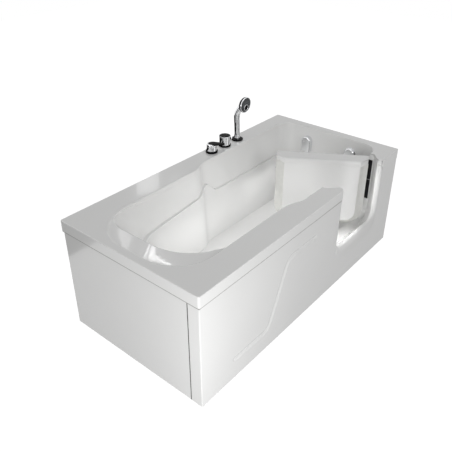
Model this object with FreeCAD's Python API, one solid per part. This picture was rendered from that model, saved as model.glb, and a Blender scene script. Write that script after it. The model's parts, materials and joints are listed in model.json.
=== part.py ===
import FreeCAD, Part
import math
import os

Vector = FreeCAD.Vector

# Overall size: +X towards the foot end, -Y the door side, +Z up, origin at the floor under the middle
tub_length = 1700.0
tub_width = 850.0
tub_height = 605.0

# Gaps and cutting reach
overrun = 40.0
slip_gap = 0.4
running_gap = 0.05

# Deck and hanging lip
deck_thickness = 8.0
lip_height = 55.0
lip_wall = 6.0
rim_corner_radius = 10.0
rim_inner_radius = 5.0
rim_edge_radius = 4.0

# Basin, measured at the rim unless the name says floor
shell_wall = 8.0
floor_height = 120.0
floor_fillet = 45.0
foot_deck_width = 55.0
head_deck_width = 125.0
side_deck_width = 103.0
waist_inset = 35.0
head_flare = 9.0
foot_batter = 25.0
side_batter = 32.0
backrest_run = 340.0
foot_corner_radius = 90.0
foot_floor_radius = 75.0
head_corner_radius = 190.0
head_floor_radius = 120.0
step_place = -25.0
step_length = 140.0
step_drift = 45.0
step_radius = 120.0

# Moulded shoulder line round the basin wall, with its hump over the step
ledge_width = 6.0
ledge_height = 412.0
hump_place = -25.0
hump_height = 66.0
hump_head_run = 235.0
hump_foot_run = 195.0
hump_radius = 90.0
hump_ease_radius = 300.0

# Headrest scoop
headrest_deck_width = 39.0
headrest_length = 271.0
headrest_run = 111.0
headrest_depth = 16.0
headrest_side_gap = 137.0
headrest_taper = 26.0
headrest_radius = 190.0

# Doorway: the throat is its narrowest outline
doorway_foot_gap = 202.0
doorway_width = 418.0
doorway_corner_radius = 60.0
sill_height = 226.0
jamb_width = 33.0
jamb_drop = 30.0
sill_depth = 40.0

# Rolled edge of the doorway in the front panel
roll_side = 16.0
roll_drop = 76.0
roll_depth = 22.0
roll_steps = 4

# Door
door_setback = 33.0
door_mitre = 46.0
door_flange_depth = 54.0
door_gap = 3.0
door_wall = 5.0
door_cap_height = 30.0
door_cap_radius = 14.0
door_top_gap = 2.0
door_board_thickness = 12.0
door_rest_angle = 58.0
door_swing_room = 5.0
seal_gap = 0.5

# Hinges
hinge_inset = 4.0
hinge_standoff = 8.0
hinge_barrel_radius = 6.0
hinge_pin_radius = 3.0
hinge_leaf_thickness = 2.5
hinge_leaf_width = 50.0
hinge_leaf_edge = 4.0
hinge_bottom = 320.0
hinge_height = 121.0
hinge_space = 3.0
hinge_knuckle_gap = 0.5
hinge_relief = 1.5
hinge_screw_radius = 2.5
hinge_screw_length = 20.0
hinge_screw_shares = (1 / 4, 3 / 4)
hinge_knuckle_share = 1 / 3

# Spring catch in the free edge of the door
catch_height = 500.0
catch_radius = 6.0
catch_length = 28.0
catch_plunger_radius = 4.0
catch_plunger_length = 20.0
catch_nose_length = 2.0
catch_strike_gap = 1.0
strike_height = 40.0
strike_width = 20.0
strike_thickness = 1.5
strike_hole_radius = 4.6

# Sill drain
sill_drain_radius = 8.0
sill_drain_bore = 5.0
sill_drain_length = 16.0
sill_drain_inset = 22.0
sill_drain_shift = 20.0

# Panels
panel_thickness = 5.0
panel_tuck = 20.0
panel_floor_gap = 4.0
panel_gap = 0.5
panel_return = 62.0
panel_joint_gap = 1.0
panel_fold = 30.0

# S-shaped groove in the front panel
groove_radius = 26.5
groove_depth = 5.0
groove_low_height = 112.0
groove_high_height = 440.0
groove_head_place = -625.0
groove_low_place = -380.0
groove_high_place = -240.0
groove_foot_place = -12.0
groove_bend = 60.0

# Steel frame
rail_size = 30.0
rail_wall = 2.0
rail_setback = 113.0
cross_rail_inset = 75.0
middle_rail_gap = 146.0
cross_rail_setback = 25.0
upright_size = 25.0
upright_setback = 40.0
base_board_thickness = 15.0
base_board_head_gap = 490.0
base_board_foot_gap = 105.0
sill_bracket_length = 40.0
sill_bracket_spacing = 320.0
clip_length = 30.0
clip_height = 20.0
clip_place = 300.0

# Levelling feet
foot_pad_radius = 30.0
foot_pad_height = 12.0
foot_stud_radius = 6.0
foot_collar_radius = 16.0
foot_stud_top_gap = 5.0
foot_bush_radius = 11.0
foot_bush_height = 12.0

# Waste in the floor
waste_foot_gap = 250.0
waste_flange_radius = 35.0
waste_flange_thickness = 3.0
waste_tube_radius = 25.0
waste_tube_wall = 4.0
waste_tube_length = 26.0
waste_gasket_thickness = 4.0
waste_gasket_radius = 34.0
waste_body_radius = 40.0
waste_body_wall = 4.0
waste_body_bottom = 20.0
waste_board_gap = 4.0
waste_pipe_radius = 20.0
waste_pipe_wall = 2.5
waste_pipe_height = 44.0
waste_pipe_back_gap = 20.0
waste_spigot_radius = 19.0
waste_spigot_length = 50.0
plug_radius = 30.0
plug_thickness = 5.0
plug_stem_radius = 5.0
plug_stem_length = 40.0
plug_edge_radius = 2.0
guide_radius = 9.0
guide_height = 6.0
guide_spoke_width = 4.0
guide_spokes = 3

# Overflow on the foot end wall
overflow_side_gap = 275.0
overflow_height = 518.0
overflow_radius = 35.0
overflow_rosette_depth = 5.0
overflow_knob_radius = 32.0
overflow_knob_depth = 13.0
overflow_knob_edge = 3.0
overflow_shaft_radius = 6.0
overflow_hole_radius = 22.0
overflow_body_radius = 32.0
overflow_body_wall = 4.0
overflow_body_gap = 6.0
overflow_pipe_radius = 16.0
overflow_pipe_wall = 2.0
overflow_pipe_bend = 45.0
end_pipe_setback = 35.0

# Filler spout on the foot end wall
filler_side_gap = 280.0
filler_top = 550.0
filler_half_width = 31.0
filler_drop = 64.0
filler_depth = 34.0
filler_wall = 3.0
filler_edge_radius = 6.0
filler_tail_radius = 11.0
filler_tail_drop = 36.0
filler_tail_reach = 15.0
filler_elbow_radius = 17.0
filler_elbow_gap = 5.0
filler_pipe_wall_gap = 80.0
filler_pipe_turn_gap = 210.0
filler_pipe_bend = 40.0

# Taps on the back deck
tap_setback = 50.0
mixer_foot_gap = 712.0
diverter_foot_gap = 597.0
shower_foot_gap = 484.0
shank_radius = 14.0
shank_hole_gap = 1.0
ring_radius = 34.0
ring_thickness = 5.0
backnut_radius = 22.0
backnut_thickness = 12.0
supply_pipe_radius = 7.5
supply_pipe_wall = 1.0
supply_pipe_length = 190.0
supply_pipe_spacing = 44.0

# Mixer
mixer_base_radius = 30.0
mixer_top_radius = 27.0
mixer_body_height = 31.0
mixer_floor = 6.0
mixer_cartridge_radius = 17.0
mixer_cartridge_stand = 6.0
mixer_collar_thickness = 8.0
mixer_block_length = 60.0
mixer_block_width = 36.0
mixer_block_height = 25.0
mixer_block_drop = 52.0
lever_thickness = 8.0
lever_gap = 1.5
lever_length = 74.0
lever_tip_width = 22.0
lever_tip_radius = 9.0
lever_pivot_inset = 3.0
lever_pivot_radius = 2.0
lever_tongue_width = 16.0
lever_tongue_length = 12.0
lever_lug_width = 6.0
lever_angle = -55.0

# Diverter
diverter_body_radius = 31.0
diverter_body_height = 50.0
diverter_cap_radius = 33.0
diverter_cap_height = 8.0
diverter_peg_radius = 4.0
diverter_peg_length = 12.0
diverter_peg_height = 38.0
diverter_peg_angle = -40.0
diverter_spindle_radius = 6.0
diverter_spindle_length = 30.0
diverter_valve_radius = 18.0
diverter_valve_drop = 97.0
link_pipe_drop = 65.0
filler_pipe_drop = 83.0

# Hand shower
socket_radius = 21.0
socket_height = 26.0
handset_radius = 15.0
handset_straight = 142.0
handset_bend = 120.0
handset_lean = 28.0
handset_neck = 66.0
head_bury = 5.0
head_tilt = 3.0
head_radius = 46.0
head_thickness = 20.0
head_back_radius = 26.0
head_back_depth = 12.0
spray_radius = 41.0
spray_thickness = 4.0
spray_recess = 2.0
dial_radius = 17.0
dial_offset = 14.0
dial_thickness = 5.0
dial_pin_radius = 4.0
dial_pin_length = 8.0
hose_gland_bore = 8.0
hose_gland_drop = 45.0

# Places worked out from the sizes above
front_y = -tub_width / 2
back_y = tub_width / 2
foot_x = tub_length / 2
head_x = -tub_length / 2
doorway_place = foot_x - doorway_foot_gap - doorway_width / 2
headrest_half_width = tub_width / 2 - headrest_side_gap
waste_place = foot_x - waste_foot_gap
overflow_side = front_y + overflow_side_gap
filler_side = back_y - filler_side_gap
mixer_place = foot_x - mixer_foot_gap
diverter_place = foot_x - diverter_foot_gap
shower_place = foot_x - shower_foot_gap
deck_under = tub_height - deck_thickness
lip_bottom = tub_height - lip_height
panel_face = front_y + lip_wall + panel_gap
panel_back = panel_face + panel_thickness
panel_top = lip_bottom + panel_tuck
panel_end = foot_x - lip_wall - panel_gap
throat_y = panel_face + roll_depth
door_face = front_y + door_setback
door_flange = door_face + door_mitre
door_inside = door_flange + door_flange_depth
door_top = tub_height - door_top_gap
door_cap_bottom = door_top - door_cap_height
door_split = (door_flange + door_inside) / 2
recess_low = doorway_place - doorway_width / 2 - door_mitre
recess_high = doorway_place + doorway_width / 2 + door_mitre
strike_face = recess_low - door_swing_room
jamb_low = strike_face - jamb_width
jamb_high = recess_high + jamb_width
jamb_bottom = sill_height - door_mitre - sill_depth
jamb_top = deck_under - jamb_drop
hinge_x = doorway_place + doorway_width / 2 + hinge_inset
hinge_y = door_inside + hinge_standoff
floor_under = floor_height - shell_wall
rail_top = floor_under - base_board_thickness
rail_bottom = rail_top - rail_size
rail_y = tub_width / 2 - rail_setback
rail_x = foot_x - cross_rail_inset
upright_y = tub_width / 2 - upright_setback
tap_y = back_y - tap_setback
ring_top = tub_height + ring_thickness
end_pipe_x = foot_x - end_pipe_setback
tap_places = (mixer_place, diverter_place, shower_place)
cross_places = (-rail_x, jamb_low - middle_rail_gap, rail_x)
foot_places = [(x, y) for x in cross_places for y in (-rail_y, rail_y)]


def box(low, high):
    """Block between two opposite corners."""
    size = Vector(*high) - Vector(*low)
    return Part.makeBox(size.x, size.y, size.z, Vector(*low))


def rod(radius, start, end):
    """Round bar from one point to another."""
    axis = Vector(*end) - Vector(*start)
    return Part.makeCylinder(radius, axis.Length, Vector(*start), axis)


def tube(radius, bore, start, end):
    """Round tube, open at both ends."""
    return rod(radius, start, end).cut(rod(bore, start, end))


def join(shapes):
    """One solid out of touching or crossing shapes."""
    return shapes[0].multiFuse(shapes[1:]).removeSplitter()


def rounded_wire(corners, place):
    """Closed outline through corners (u, v, radius), laid in space by place(u, v)."""
    points = [Vector(u, v, 0) for u, v, _ in corners]
    edges = []
    stops = []
    for index, (_, _, radius) in enumerate(corners):
        corner = points[index]
        before = (points[index - 1] - corner).normalize()
        after = (points[(index + 1) % len(points)] - corner).normalize()
        half = before.getAngle(after) / 2
        reach = radius / math.tan(half)
        middle = (before + after).normalize() * (radius / math.sin(half) - radius)
        stops.append([corner + before * reach, corner + middle, corner + after * reach])
    for index, (start, middle, end) in enumerate(stops):
        if corners[index][2] > 0:
            arc = Part.Arc(place(start.x, start.y), place(middle.x, middle.y), place(end.x, end.y))
            edges.append(arc.toShape())
        following = stops[(index + 1) % len(stops)][0]
        edges.append(Part.makeLine(place(end.x, end.y), place(following.x, following.y)))
    return Part.Wire(edges)


def prism(wire, direction):
    """Solid made by pushing a flat outline along a direction."""
    return Part.Face(wire).extrude(direction)


def lathe(profile, centre, axis):
    """Solid of revolution from (radius, height) points, set on a centre along an axis."""
    points = [Vector(radius, 0, height) for radius, height in profile]
    face = Part.Face(Part.makePolygon(points + points[:1]))
    solid = face.revolve(Vector(0, 0, 0), Vector(0, 0, 1), 360)
    turn = FreeCAD.Rotation(Vector(0, 0, 1), Vector(*axis))
    solid.Placement = FreeCAD.Placement(Vector(*centre), turn)
    return solid


def bent_path(points, bend):
    """Path of straight runs joined by tangent arcs of one radius."""
    corners = [Vector(*point) for point in points]
    edges = []
    start = corners[0]
    for before, corner, after in zip(corners, corners[1:], corners[2:]):
        back = (before - corner).normalize()
        ahead = (after - corner).normalize()
        half = back.getAngle(ahead) / 2
        reach = bend / math.tan(half)
        middle = corner + (back + ahead).normalize() * (bend / math.sin(half) - bend)
        edges.append(Part.makeLine(start, corner + back * reach))
        edges.append(Part.Arc(corner + back * reach, middle, corner + ahead * reach).toShape())
        start = corner + ahead * reach
    edges.append(Part.makeLine(start, corners[-1]))
    return Part.Wire(edges)


def bent_rod(points, bend, radius):
    """Round bar along straight runs and tangent arcs."""
    path = bent_path(points, bend)
    heading = Vector(*points[1]) - Vector(*points[0])
    section = Part.Wire(Part.makeCircle(radius, Vector(*points[0]), heading))
    return path.makePipeShell([section], True, True)


def bent_tube(points, bend, radius, wall):
    """Pipe runs and elbows, one solid each, along straight runs and tangent arcs."""
    solids = []
    for edge in bent_path(points, bend).Edges:
        start = edge.valueAt(edge.FirstParameter)
        heading = edge.tangentAt(edge.FirstParameter)
        run = Part.Wire(edge)
        outer, inner = [
            run.makePipeShell([Part.Wire(Part.makeCircle(size, start, heading))], True, True)
            for size in (radius, radius - wall)
        ]
        solids.append(outer.cut(inner))
    return Part.makeCompound(solids)


def between(low, high, share):
    """Value a share of the way from low to high."""
    return low + (high - low) * share


# Basin

def basin_wire(share, grow, inset):
    """Level outline of the basin; share 0 is the floor and 1 the rim, grow widens it all round."""
    foot = foot_x - foot_deck_width - between(foot_batter, 0, share) + grow - inset
    head = head_x + head_deck_width + between(backrest_run, 0, share) - grow + inset
    wide = tub_width / 2 - side_deck_width - between(side_batter, 0, share) + grow - inset
    waist = wide - waist_inset
    step = step_place + between(step_drift, 0, share)
    foot_radius = between(foot_floor_radius, foot_corner_radius, share) + grow
    head_radius_here = between(head_floor_radius, head_corner_radius, share) + grow
    side = [
        (foot, wide, foot_radius),
        (step + step_length / 2, wide, step_radius),
        (step - step_length / 2, waist, step_radius),
        (head, waist + head_flare, head_radius_here),
    ]
    other_side = [(x, -y, radius) for x, y, radius in reversed(side)]
    level = floor_height + (tub_height - floor_height) * share
    return rounded_wire(side + other_side, lambda u, v: Vector(u, v, level))


def basin_loft(low, high, grow, inset):
    """Solid between two levels of the basin outline."""
    shares = [(level - floor_height) / (tub_height - floor_height) for level in (low, high)]
    return Part.makeLoft([basin_wire(share, grow, inset) for share in shares], True, True)


def round_bottom(solid, radius):
    """Round the lowest edge of a basin solid."""
    lowest = solid.BoundBox.ZMin
    edges = [edge for edge in solid.Edges if edge.BoundBox.ZMax - lowest < slip_gap]
    return solid.makeFillet(radius, edges)


def above_ledge():
    """Everything above the shoulder line, hump included."""
    corners = [
        (head_x - overrun, ledge_height, 0),
        (hump_place - hump_head_run, ledge_height, hump_ease_radius),
        (hump_place, ledge_height + hump_height, hump_radius),
        (hump_place + hump_foot_run, ledge_height, hump_ease_radius),
        (foot_x + overrun, ledge_height, 0),
        (foot_x + overrun, tub_height + overrun, 0),
        (head_x - overrun, tub_height + overrun, 0),
    ]
    outline = rounded_wire(corners, lambda u, v: Vector(u, front_y, v))
    return prism(outline, Vector(0, tub_width, 0))


def basin_space():
    """The hollow of the basin, wider above the shoulder line."""
    lower = round_bottom(basin_loft(floor_height, tub_height + overrun, 0, ledge_width), floor_fillet)
    upper = basin_loft(floor_height + floor_fillet, tub_height + overrun, 0, 0)
    return lower.fuse(upper.common(above_ledge()))


def basin_outside():
    """The basin with its wall, up to the middle of the deck."""
    outer = basin_loft(floor_under, tub_height - deck_thickness / 2, shell_wall, 0)
    return round_bottom(outer, floor_fillet + shell_wall)


def headrest_wire(share, grow):
    """Level outline of the headrest scoop; share 0 is its bottom and 1 the deck."""
    head = head_x + headrest_deck_width + between(headrest_run, 0, share) - grow
    wide = headrest_half_width - between(headrest_taper, 0, share) + grow
    end = head_x + headrest_deck_width + headrest_length
    level = tub_height - headrest_depth + headrest_depth * share - grow
    corners = [
        (end, wide, 0),
        (head, wide, headrest_radius),
        (head, -wide, headrest_radius),
        (end, -wide, 0),
    ]
    return rounded_wire(corners, lambda u, v: Vector(u, v, level))


def headrest_loft(grow, reach):
    """The scoop as a solid, reaching past the deck by a share of its depth."""
    return Part.makeLoft([headrest_wire(0, grow), headrest_wire(1 + reach, grow)], True, True)


def rim():
    """Deck plate with its hanging lip."""
    signs = [(-1, -1), (1, -1), (1, 1), (-1, 1)]
    outer = [(x * foot_x, y * back_y, rim_corner_radius) for x, y in signs]
    inside_x = foot_x - lip_wall
    inside_y = back_y - lip_wall
    inner = [(x * inside_x, y * inside_y, rim_inner_radius) for x, y in signs]
    outer_wire = rounded_wire(outer, lambda u, v: Vector(u, v, lip_bottom))
    inner_wire = rounded_wire(inner, lambda u, v: Vector(u, v, lip_bottom - overrun))
    block = prism(outer_wire, Vector(0, 0, lip_height))
    edges = [edge for edge in block.Edges if tub_height - edge.BoundBox.ZMin < slip_gap]
    block = block.makeFillet(rim_edge_radius, edges)
    return block.cut(prism(inner_wire, Vector(0, 0, overrun + lip_height - deck_thickness)))


# Doorway

def doorway_wire(y, side, drop, top):
    """Upright outline of the doorway, wider by side at each jamb and lower by drop at the sill."""
    half = doorway_width / 2 + side
    low = sill_height - drop
    radius = doorway_corner_radius + side
    corners = [
        (doorway_place - half, top, 0),
        (doorway_place - half, low, radius),
        (doorway_place + half, low, radius),
        (doorway_place + half, top, 0),
    ]
    return rounded_wire(corners, lambda u, v: Vector(u, y, v))


def door_loft(grow, shift, top):
    """The mitred door outline as a solid, grown by a gap or shrunk by a wall."""
    sections = [
        doorway_wire(door_face + shift, grow, grow, top),
        doorway_wire(door_flange + shift, door_mitre + grow, door_mitre + grow, top),
        doorway_wire(door_inside - shift, door_mitre + grow, door_mitre + grow, top),
    ]
    return Part.makeLoft(sections, True, True)


def door_space():
    """Room for the door in the jamb: throat, mitre and the way in."""
    top = tub_height + overrun
    throat = prism(doorway_wire(throat_y, 0, 0, top), Vector(0, door_face - throat_y, 0))
    flange = doorway_wire(door_flange, door_mitre, door_mitre, top)
    way_in = prism(flange, Vector(0, door_flange_depth + overrun + hinge_standoff, 0))
    swing_way = way_in.translated(Vector(-door_swing_room, 0, 0))
    return join([throat, door_loft(0, 0, top), way_in, swing_way])


def roll_loft(grow):
    """The rolled doorway edge from the panel face to the throat, a quarter ellipse deep."""
    sections = []
    for step in range(roll_steps + 1):
        angle = math.pi / 2 * step / roll_steps
        left = 1 - math.sin(angle)
        y = panel_face + roll_depth * (1 - math.cos(angle))
        side = roll_side * left + grow
        drop = roll_drop * left + grow
        sections.append(doorway_wire(y, side, drop, tub_height + overrun))
    return Part.makeLoft(sections, True, True)


def roll_mouth():
    """Room in front of the rolled edge, through the lip."""
    outline = doorway_wire(front_y - overrun, roll_side, roll_drop, tub_height + overrun)
    return prism(outline, Vector(0, panel_face - front_y + overrun, 0))


def jamb_room():
    """Room that the doorway frame takes out of the shell, under the deck."""
    return box((jamb_low, panel_back, jamb_bottom), (jamb_high, door_inside + overrun, deck_under))


def door_frame():
    """Jambs and sill that the door closes into."""
    posts = [
        box((recess_high, panel_back, jamb_bottom), (jamb_high, door_inside, jamb_top)),
        box((jamb_low, panel_back, jamb_bottom), (strike_face, door_inside, jamb_top)),
    ]
    frame = join([jamb_room().cut(basin_space())] + posts)
    frame = frame.cut(roll_loft(panel_thickness)).cut(door_space())
    fittings = hinge_screw_rods() + [strike_block(), sill_drain_rod(sill_drain_radius)]
    return frame.cut(Part.makeCompound(fittings))


def tub_shell():
    """Acrylic shell: deck, lip, basin and headrest scoop, open at the doorway."""
    body = join([rim(), basin_outside(), headrest_loft(shell_wall, 0)])
    body = body.cut(basin_space()).cut(headrest_loft(0, 1))
    body = body.cut(jamb_room()).cut(roll_mouth()).cut(roll_loft(0)).cut(door_space())
    hole = shank_radius + shank_hole_gap
    holes = [rod(hole, (x, tap_y, lip_bottom), (x, tap_y, tub_height + overrun)) for x in tap_places]
    holes.append(rod(waste_tube_radius, (waste_place, 0, 0), (waste_place, 0, floor_height + overrun)))
    holes.append(end_wall_rod(overflow_hole_radius, overflow_side, overflow_height))
    holes.append(end_wall_rod(filler_tail_radius, filler_side, filler_top - filler_tail_drop))
    return body.cut(Part.makeCompound(holes))


def end_wall_rod(radius, side, height):
    """Round bar along X through the foot end wall."""
    start = foot_x - foot_deck_width - foot_batter - overrun
    return rod(radius, (start, side, height), (foot_x - overflow_body_gap, side, height))


# Panels

def groove_rod(radius):
    """Round bar along the S-shaped groove, with ball ends."""
    y = panel_face - groove_radius + groove_depth
    points = [
        (groove_head_place, y, groove_low_height),
        (groove_low_place, y, groove_low_height),
        (groove_high_place, y, groove_high_height),
        (groove_foot_place, y, groove_high_height),
    ]
    ends = [Part.makeSphere(radius, Vector(*points[index])) for index in (0, -1)]
    return join([bent_rod(points, groove_bend, radius)] + ends)


def round_corners(panel):
    """Round the upright outer corners of a panel to the lip's inner corner."""
    edges = []
    for edge in panel.Edges:
        room = edge.BoundBox
        at_end = panel_end - abs(room.Center.x) < slip_gap
        at_side = -panel_face - abs(room.Center.y) < slip_gap
        if at_end and at_side and room.ZLength > lip_height:
            edges.append(edge)
    return panel.makeFillet(rim_inner_radius - panel_gap, edges)


def front_panel():
    """Front panel with a return at each end, the rolled doorway edge and the S-shaped groove."""
    plate = box((-panel_end, panel_face, panel_floor_gap), (panel_end, panel_back, panel_top))
    fold = panel_face + panel_return
    inside = panel_end - panel_thickness
    returns = [
        box((-panel_end, panel_face, panel_floor_gap), (-inside, fold, panel_top)),
        box((inside, panel_face, panel_floor_gap), (panel_end, fold, panel_top)),
    ]
    room = box((-panel_end, panel_face, panel_floor_gap), (panel_end, fold, panel_top))
    roll = roll_loft(panel_thickness).common(room)
    rib = groove_rod(groove_radius + panel_thickness).common(room)
    panel = round_corners(join([plate] + returns))
    panel = join([panel, roll, rib])
    return panel.cut(roll_loft(0)).cut(roll_mouth()).cut(groove_rod(groove_radius))


def end_panel(side):
    """End panel, side -1 at the head and 1 at the foot, folded in at the back."""
    start = panel_face + panel_return + panel_joint_gap
    stop = -panel_face
    plate = box((panel_end - panel_thickness, start, panel_floor_gap), (panel_end, stop, panel_top))
    inside = (panel_end - panel_fold, stop - panel_thickness, panel_floor_gap)
    fold = box(inside, (panel_end, stop, panel_top))
    panel = round_corners(join([plate, fold]))
    return panel if side > 0 else panel.mirror(Vector(0, 0, 0), Vector(1, 0, 0))


# Steel frame

def square_tube(low, high, axis):
    """Square steel tube along axis 0, 1 or 2."""
    inner_low = [value + rail_wall for value in low]
    inner_high = [value - rail_wall for value in high]
    inner_low[axis] = low[axis] - overrun
    inner_high[axis] = high[axis] + overrun
    return box(low, high).cut(box(inner_low, inner_high))


def long_rails():
    """Two rails along each side, between the cross rails."""
    half = rail_size / 2
    rails = []
    for start, stop in zip(cross_places, cross_places[1:]):
        for y in (-rail_y, rail_y):
            low = (start + half, y - half, rail_bottom)
            rails.append(square_tube(low, (stop - half, y + half, rail_top), 0))
    return Part.makeCompound(rails)


def cross_rails():
    """Rails across the tub, bored for the feet."""
    half = rail_size / 2
    reach = tub_width / 2 - cross_rail_setback
    rails = []
    for x in cross_places:
        rail = square_tube((x - half, -reach, rail_bottom), (x + half, reach, rail_top), 1)
        for y in (-rail_y, rail_y):
            rail = rail.cut(rod(foot_stud_radius + slip_gap, (x, y, 0), (x, y, rail_top - rail_wall)))
        rails.append(rail)
    return Part.makeCompound(rails)


def uprights():
    """Posts from the cross rails to the deck."""
    half = upright_size / 2
    posts = []
    for x in cross_places:
        for y in (-upright_y, upright_y):
            low = (x - half, y - half, rail_top)
            posts.append(square_tube(low, (x + half, y + half, deck_under), 2))
    return Part.makeCompound(posts)


def base_board():
    """Board under the basin floor, on the rails."""
    start = head_x + base_board_head_gap
    stop = foot_x - base_board_foot_gap
    board = box((start, -rail_y, rail_top), (stop, rail_y, floor_under))
    hole = waste_body_radius + waste_board_gap
    return board.cut(rod(hole, (waste_place, 0, 0), (waste_place, 0, floor_height)))


def sill_brackets():
    """Blocks on the front rail that carry the sill of the doorway frame."""
    blocks = []
    for side in (-1, 1):
        x = doorway_place + side * sill_bracket_spacing / 2
        low = (x - sill_bracket_length / 2, -rail_y - rail_size / 2, rail_top)
        blocks.append(box(low, (x + sill_bracket_length / 2, -rail_y, jamb_bottom)))
    return Part.makeCompound(blocks)


def panel_clips():
    """Clips from the uprights to the panels."""
    half = upright_size / 2
    clips = []
    for x in cross_places:
        low = (x - clip_length / 2, panel_back, clip_place)
        clips.append(box(low, (x + clip_length / 2, -upright_y - half, clip_place + clip_height)))
    for side in (-1, 1):
        for y in (-upright_y, upright_y):
            near = side * (rail_x + half)
            far = side * (panel_end - panel_thickness)
            low = (min(near, far), y - half, clip_place)
            clips.append(box(low, (max(near, far), y + half, clip_place + clip_height)))
    return Part.makeCompound(clips)


def levelling_foot(x, y):
    """Pad and threaded stud in one piece."""
    stud_top = rail_top - rail_wall - foot_stud_top_gap
    profile = [
        (0, 0),
        (foot_pad_radius, 0),
        (foot_pad_radius, foot_pad_height / 2),
        (foot_collar_radius, foot_pad_height),
        (foot_stud_radius, foot_pad_height),
        (foot_stud_radius, stud_top),
        (0, stud_top),
    ]
    return lathe(profile, (x, y, 0), (0, 0, 1))


def foot_bushes():
    """Threaded bushes under the cross rails."""
    low = rail_bottom - foot_bush_height
    bore = foot_stud_radius + running_gap
    bushes = [tube(foot_bush_radius, bore, (x, y, low), (x, y, rail_bottom)) for x, y in foot_places]
    return Part.makeCompound(bushes)


# Door, modelled shut and swung to its resting angle

def swing(shape):
    """Turn a piece of the door from shut to where it rests."""
    turned = shape.copy()
    turned.rotate(Vector(hinge_x, hinge_y, 0), Vector(0, 0, 1), -door_rest_angle)
    return turned


def door_hollow():
    """Hollow between the two pans."""
    return door_loft(-door_gap - door_wall, door_wall, door_cap_bottom)


def door_half(low, high):
    """Part of the door's skin between two depths."""
    skin = door_loft(-door_gap, 0, door_cap_bottom).cut(door_hollow())
    return skin.common(box((recess_low, low, 0), (recess_high, high, tub_height)))


def door_outer_pan():
    """Outer skin with the mitred edge."""
    return swing(door_half(door_face, door_split))


def door_inner_pan():
    """Inner skin, bored for the spring catch."""
    return swing(door_half(door_split, door_inside).cut(catch_rod(catch_radius)))


def door_stiffener():
    """Board between the pans."""
    half = door_board_thickness / 2
    slab = box((recess_low, door_split - half, 0), (recess_high, door_split + half, tub_height))
    return swing(door_hollow().common(slab))


def door_top_cap():
    """Solid cap on the pans, rounded along both long edges."""
    block = door_loft(-door_gap, 0, door_top)
    low = (recess_low, door_face, door_cap_bottom)
    cap = block.common(box(low, (recess_high, door_inside, tub_height)))
    edges = []
    for edge in cap.Edges:
        room = edge.BoundBox
        on_top = door_top - room.ZMin < slip_gap
        if on_top and room.YLength < slip_gap and room.XLength > doorway_width / 2:
            edges.append(edge)
    return swing(cap.makeFillet(door_cap_radius, edges))


def door_seal():
    """Soft strip over the mitred edge, down both sides and under the door."""
    strip = door_loft(-seal_gap, 0, door_cap_bottom)
    strip = strip.common(box((recess_low, door_face, 0), (recess_high, door_flange, tub_height)))
    return swing(strip.cut(door_loft(-door_gap, 0, tub_height)))


def hinge_lows():
    """Bottom height of each hinge."""
    return (hinge_bottom, hinge_bottom + hinge_height + hinge_space)


def knuckle(low, high):
    """Barrel of a hinge leaf between two heights."""
    return rod(hinge_barrel_radius, (hinge_x, hinge_y, low), (hinge_x, hinge_y, high))


def hinge_pin_rod(radius, low):
    """Bar on the hinge axis, as long as one hinge."""
    return rod(radius, (hinge_x, hinge_y, low), (hinge_x, hinge_y, low + hinge_height))


def hinge_screw_rods():
    """Bars that fix the jamb leaves to the jamb."""
    y = door_flange + door_flange_depth / 2
    rods = []
    for low in hinge_lows():
        for share in hinge_screw_shares:
            z = low + hinge_height * share
            start = recess_high - hinge_leaf_thickness
            rods.append(rod(hinge_screw_radius, (start, y, z), (start + hinge_screw_length, y, z)))
    return rods


def hinge_jamb_leaf(low):
    """Cranked leaf on the jamb with the outer knuckles."""
    high = low + hinge_height
    third = hinge_height * hinge_knuckle_share
    crank_y = door_inside + slip_gap + hinge_leaf_thickness
    reach = hinge_x + hinge_barrel_radius + hinge_relief
    corner = (recess_high - hinge_leaf_thickness, door_flange + hinge_leaf_edge, low)
    face = box(corner, (recess_high, crank_y, high))
    crank = box((reach, crank_y, low), (recess_high, crank_y + hinge_leaf_thickness, high))
    solids = [face, crank]
    for bottom, top in ((low, low + third - hinge_knuckle_gap), (high - third + hinge_knuckle_gap, high)):
        solids.append(box((hinge_x, crank_y, bottom), (reach, crank_y + hinge_leaf_thickness, top)))
        solids.append(knuckle(bottom, top))
    leaf = join(solids).cut(hinge_pin_rod(hinge_pin_radius, low))
    return leaf.cut(Part.makeCompound(hinge_screw_rods()))


def hinge_door_leaf(low):
    """Flat leaf on the inside of the door with the middle knuckle."""
    high = low + hinge_height
    third = hinge_height * hinge_knuckle_share
    reach = hinge_x - hinge_barrel_radius - hinge_relief
    y = door_inside + hinge_leaf_thickness
    plate = box((hinge_x - hinge_leaf_width, door_inside, low), (reach, y, high))
    arm = box((reach, door_inside, low + third), (hinge_x, y, high - third))
    leaf = join([plate, arm, knuckle(low + third, high - third)])
    return swing(leaf.cut(hinge_pin_rod(hinge_pin_radius + running_gap, low)))


def catch_rod(radius):
    """Bar along the spring catch, in from the free edge of the door."""
    y = (door_split + door_board_thickness / 2 + door_inside - door_wall) / 2
    start = recess_low + door_gap
    return rod(radius, (start, y, catch_height), (start + catch_length, y, catch_height))


def catch_barrel():
    """Housing of the spring catch."""
    return swing(catch_rod(catch_radius).cut(catch_rod(catch_plunger_radius)))


def catch_plunger():
    """Round-nosed plunger of the spring catch."""
    y = catch_rod(catch_radius).BoundBox.Center.y
    radius = catch_plunger_radius - running_gap
    nose = strike_face + catch_strike_gap
    profile = [
        (0, 0),
        (radius / 2, 0),
        (radius, catch_nose_length),
        (radius, catch_plunger_length),
        (0, catch_plunger_length),
    ]
    return swing(lathe(profile, (nose, y, catch_height), (1, 0, 0)))


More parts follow.
